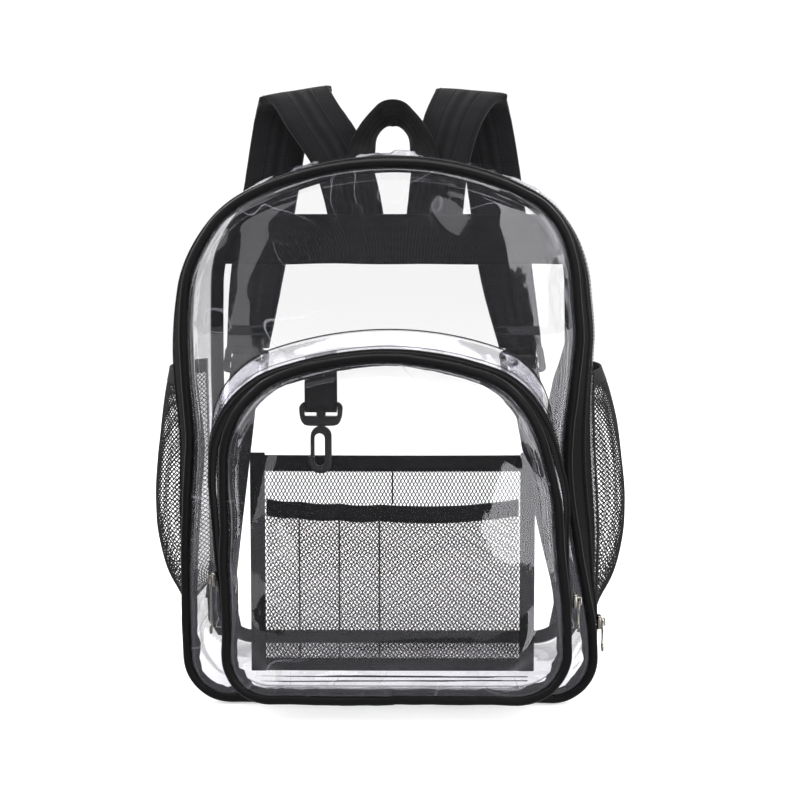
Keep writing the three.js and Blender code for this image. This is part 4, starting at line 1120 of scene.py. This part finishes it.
WINDOW_HALF = ORGANIZER_HALF - SIDE_BAND + 2
WINDOW_BASE, WINDOW_TOP = ORGANIZER_BASE + BASE_BAND - 2, ORGANIZER_TOP - TOP_BAND + 2


def window_place(u, v, way=0):
    x, z = mix(-WINDOW_HALF, WINDOW_HALF, u), mix(WINDOW_BASE, WINDOW_TOP, v)
    return patch_place(x, z, 0.9 + YARN_CROSS * way)


runs = slanting(2 * WINDOW_HALF, WINDOW_TOP - WINDOW_BASE, NET_PITCH, BACK_LEAN, window_place, 12)
net = piece("organizer_net", threads(runs, BACK_STRAND), net_yarn, "organizer_back_mesh")


def pouch_out(x, z):
    start, end, bulge = next(row for row in POUCH if x <= row[1] + 1e-6)
    up = min(1, max(0, (z - WINDOW_BASE) / (POUCH_TOP - WINDOW_BASE) * 2.2))
    return 2.9 + bulge * sin(pi * (x - start) / (end - start)) * sqrt(up)


def pouch_rim(x):
    return POUCH_TOP - POUCH_SAG * (1 - (x / POUCH_HALF) ** 2)


def pouch_place(u, v, way=0):
    x = mix(-POUCH_HALF, POUCH_HALF, u)
    z = mix(WINDOW_BASE, pouch_rim(x), v)
    return patch_place(x, z, pouch_out(x, z) + YARN_CROSS * way)


runs = slanting(2 * POUCH_HALF, POUCH_TOP - WINDOW_BASE, NET_PITCH, POUCH_LEAN, pouch_place, 8)
net = piece("pouch_net", threads(runs, POUCH_STRAND), net_yarn, "organizer_front_mesh")


def pouch_hem_place(u, v):
    x = mix(-POUCH_HALF, POUCH_HALF, v)
    z = pouch_rim(x) - 1 + u * (POUCH_HEM + 1)
    return patch_place(x, z, pouch_out(x, POUCH_TOP) + 0.4 * bell(2 * u - 1))


piece("pouch_hem", skin(6, 110, pouch_hem_place, (13, 210)), grosgrain, "organizer_hem",
      thick=1.2)
seams = [[patch_place(end, mix(WINDOW_BASE, POUCH_TOP - 2, k / 24), 3.1) for k in range(25)]
         for start, end, bulge in POUCH[:-1]]
seams.append([patch_place(0, mix(POUCH_TOP + POUCH_HEM - 4, WINDOW_TOP, k / 8), 1.2) for k in range(9)])
piece("pouch_seams", threads(seams, 0.7), black_thread)

# Key hook on its folded strap


# share of the strap in each leg of its fold
KEY_LEG = 0.42


def key_strap_place(u, v):
    """Down the front, round the bar and up the back"""
    x = mix(-KEY_WIDTH / 2, KEY_WIDTH / 2, u)
    ring = HOOK_BAR_ROUND + SEAM + KEY_THICK / 2
    top = KEY_TOP - HOOK_BAR_Z
    t = min(v, 1 - v) / KEY_LEG
    if t < 1:
        face = LEFT if v < 0.5 else RIGHT
        y, z = face * mix(KEY_THICK * 0.55, ring, ease(t * 1.3)), mix(top, 0, t)
    else:
        a = pi * (v - KEY_LEG) / (1 - 2 * KEY_LEG)
        y, z = -ring * cos(a), -ring * sin(a)
    return KEY_X + x, KEY_Y + y, HOOK_BAR_Z + z + KEY_SLOPE * x * ease(z / top)


piece("key_strap_webbing", skin(10, 90, key_strap_place, (24, 105)), webbing, "key_strap",
      thick=KEY_THICK)
moulded("hook_base", acetal, 1.2)
moulded("key_hook", acetal, 1.3, "hook")
for start, body in (("main_{}", "main"), ("pocket_{}_left", "left"), ("pocket_{}_right", "right")):
    moulded(start.format("slider"), nickel, 0.4)
    moulded(start.format("pull"), nickel, 0.3, body + "_pull_tab")

# Studio: a white floor, soft lamps on both sides of the camera and one overhead


def paper(name, stock, half, height, **values):
    finish, _, shader = new_finish(stock)
    set_values(shader, **values)
    bm = bmesh.new()
    bmesh.ops.create_grid(bm, x_segments=1, y_segments=1, size=half)
    bmesh.ops.translate(bm, verts=bm.verts, vec=(0, 0, height))
    obj = made(name, bm, finish)
    return obj


floor = paper("floor", "white_paper_floor", 30, 0, Base_Color=linear("#f2f2f2"), Roughness=0.9,
              Specular_IOR_Level=0.1, Emission_Color=linear("#ffffff"), Emission_Strength=0.35)
floor.visible_glossy = False
# The near part of the paper as the film mirrors it, which greys the lower third of the bag
mirrored = paper("mirrored_paper", "mirrored_paper", 0.52, 0.0003, Base_Color=linear("#000000"),
                 Emission_Color=linear("#f7f6fc"), Emission_Strength=0.6)
for ray_kind in ("camera", "diffuse", "transmission", "volume_scatter", "shadow"):
    setattr(mirrored, "visible_" + ray_kind, False)

# place, size and strength: two tall strips beside the camera draw the veils on the film
LAMPS = (
    ("strip_left", (-0.5, -1.4, 0.25), (0.36, 1.5), 3.4),
    ("strip_right", (0.52, -1.4, 0.25), (0.36, 1.5), 9.2),
    ("lamp_left", (-1.3, -0.9, 1.0), (0.9, 1.1), 12),
    ("lamp_right", (1.3, -0.9, 1.0), (0.9, 1.1), 12),
    ("lamp_top", (0.0, -0.2, 1.7), (1.4, 1.2), 22),
    ("lamp_back_left", (-0.9, 1.3, 1.1), (0.8, 0.8), 9),
    ("lamp_back_right", (0.9, 1.3, 1.1), (0.8, 0.8), 9),
)
LAMP_AIM = Vector((0, 0, 0.2))
for name, place, (wide, tall), power in LAMPS:
    lamp = bpy.data.lights.new(name, "AREA")
    lamp.shape = "RECTANGLE"
    lamp.size, lamp.size_y, lamp.energy = wide, tall, power
    holder = linked(name, lamp)
    way = LAMP_AIM - Vector(place)
    holder.matrix_world = Matrix.Translation(place) @ way.to_track_quat("-Z", "Y").to_matrix().to_4x4()
    holder.visible_camera = False

# White surround; reflections see a dark studio in front of the bag and white paper behind it
world = bpy.data.worlds.new("studio")
world.use_nodes = True
tree = world.node_tree
ray = node(tree, "LightPath")
seen = node(tree, "MapRange", Value=ray.outputs["Is Camera Ray"], To_Min=0.75, To_Max=1.05)
way = node(tree, "SeparateXYZ", Vector=node(tree, "TexCoord").outputs["Generated"])
behind = node(tree, "MapRange", {"interpolation_type": "SMOOTHSTEP"}, Value=way.outputs["Y"], From_Min=-0.5,
              From_Max=0.4, To_Min=0.08, To_Max=1.4)
dim = node(tree, "Mix", Factor=ray.outputs["Is Glossy Ray"], A=1.0, B=behind.outputs[0])
level = maths(tree, "MULTIPLY", seen.outputs[0], dim.outputs[0])
tree.links.new(level, tree.nodes["Background"].inputs["Strength"])
tree.nodes["Background"].inputs["Color"].default_value = (1, 1, 1, 1)
scene.world = world
scene.view_settings.view_transform = "Standard"
scene.cycles.transparent_max_bounces = 32
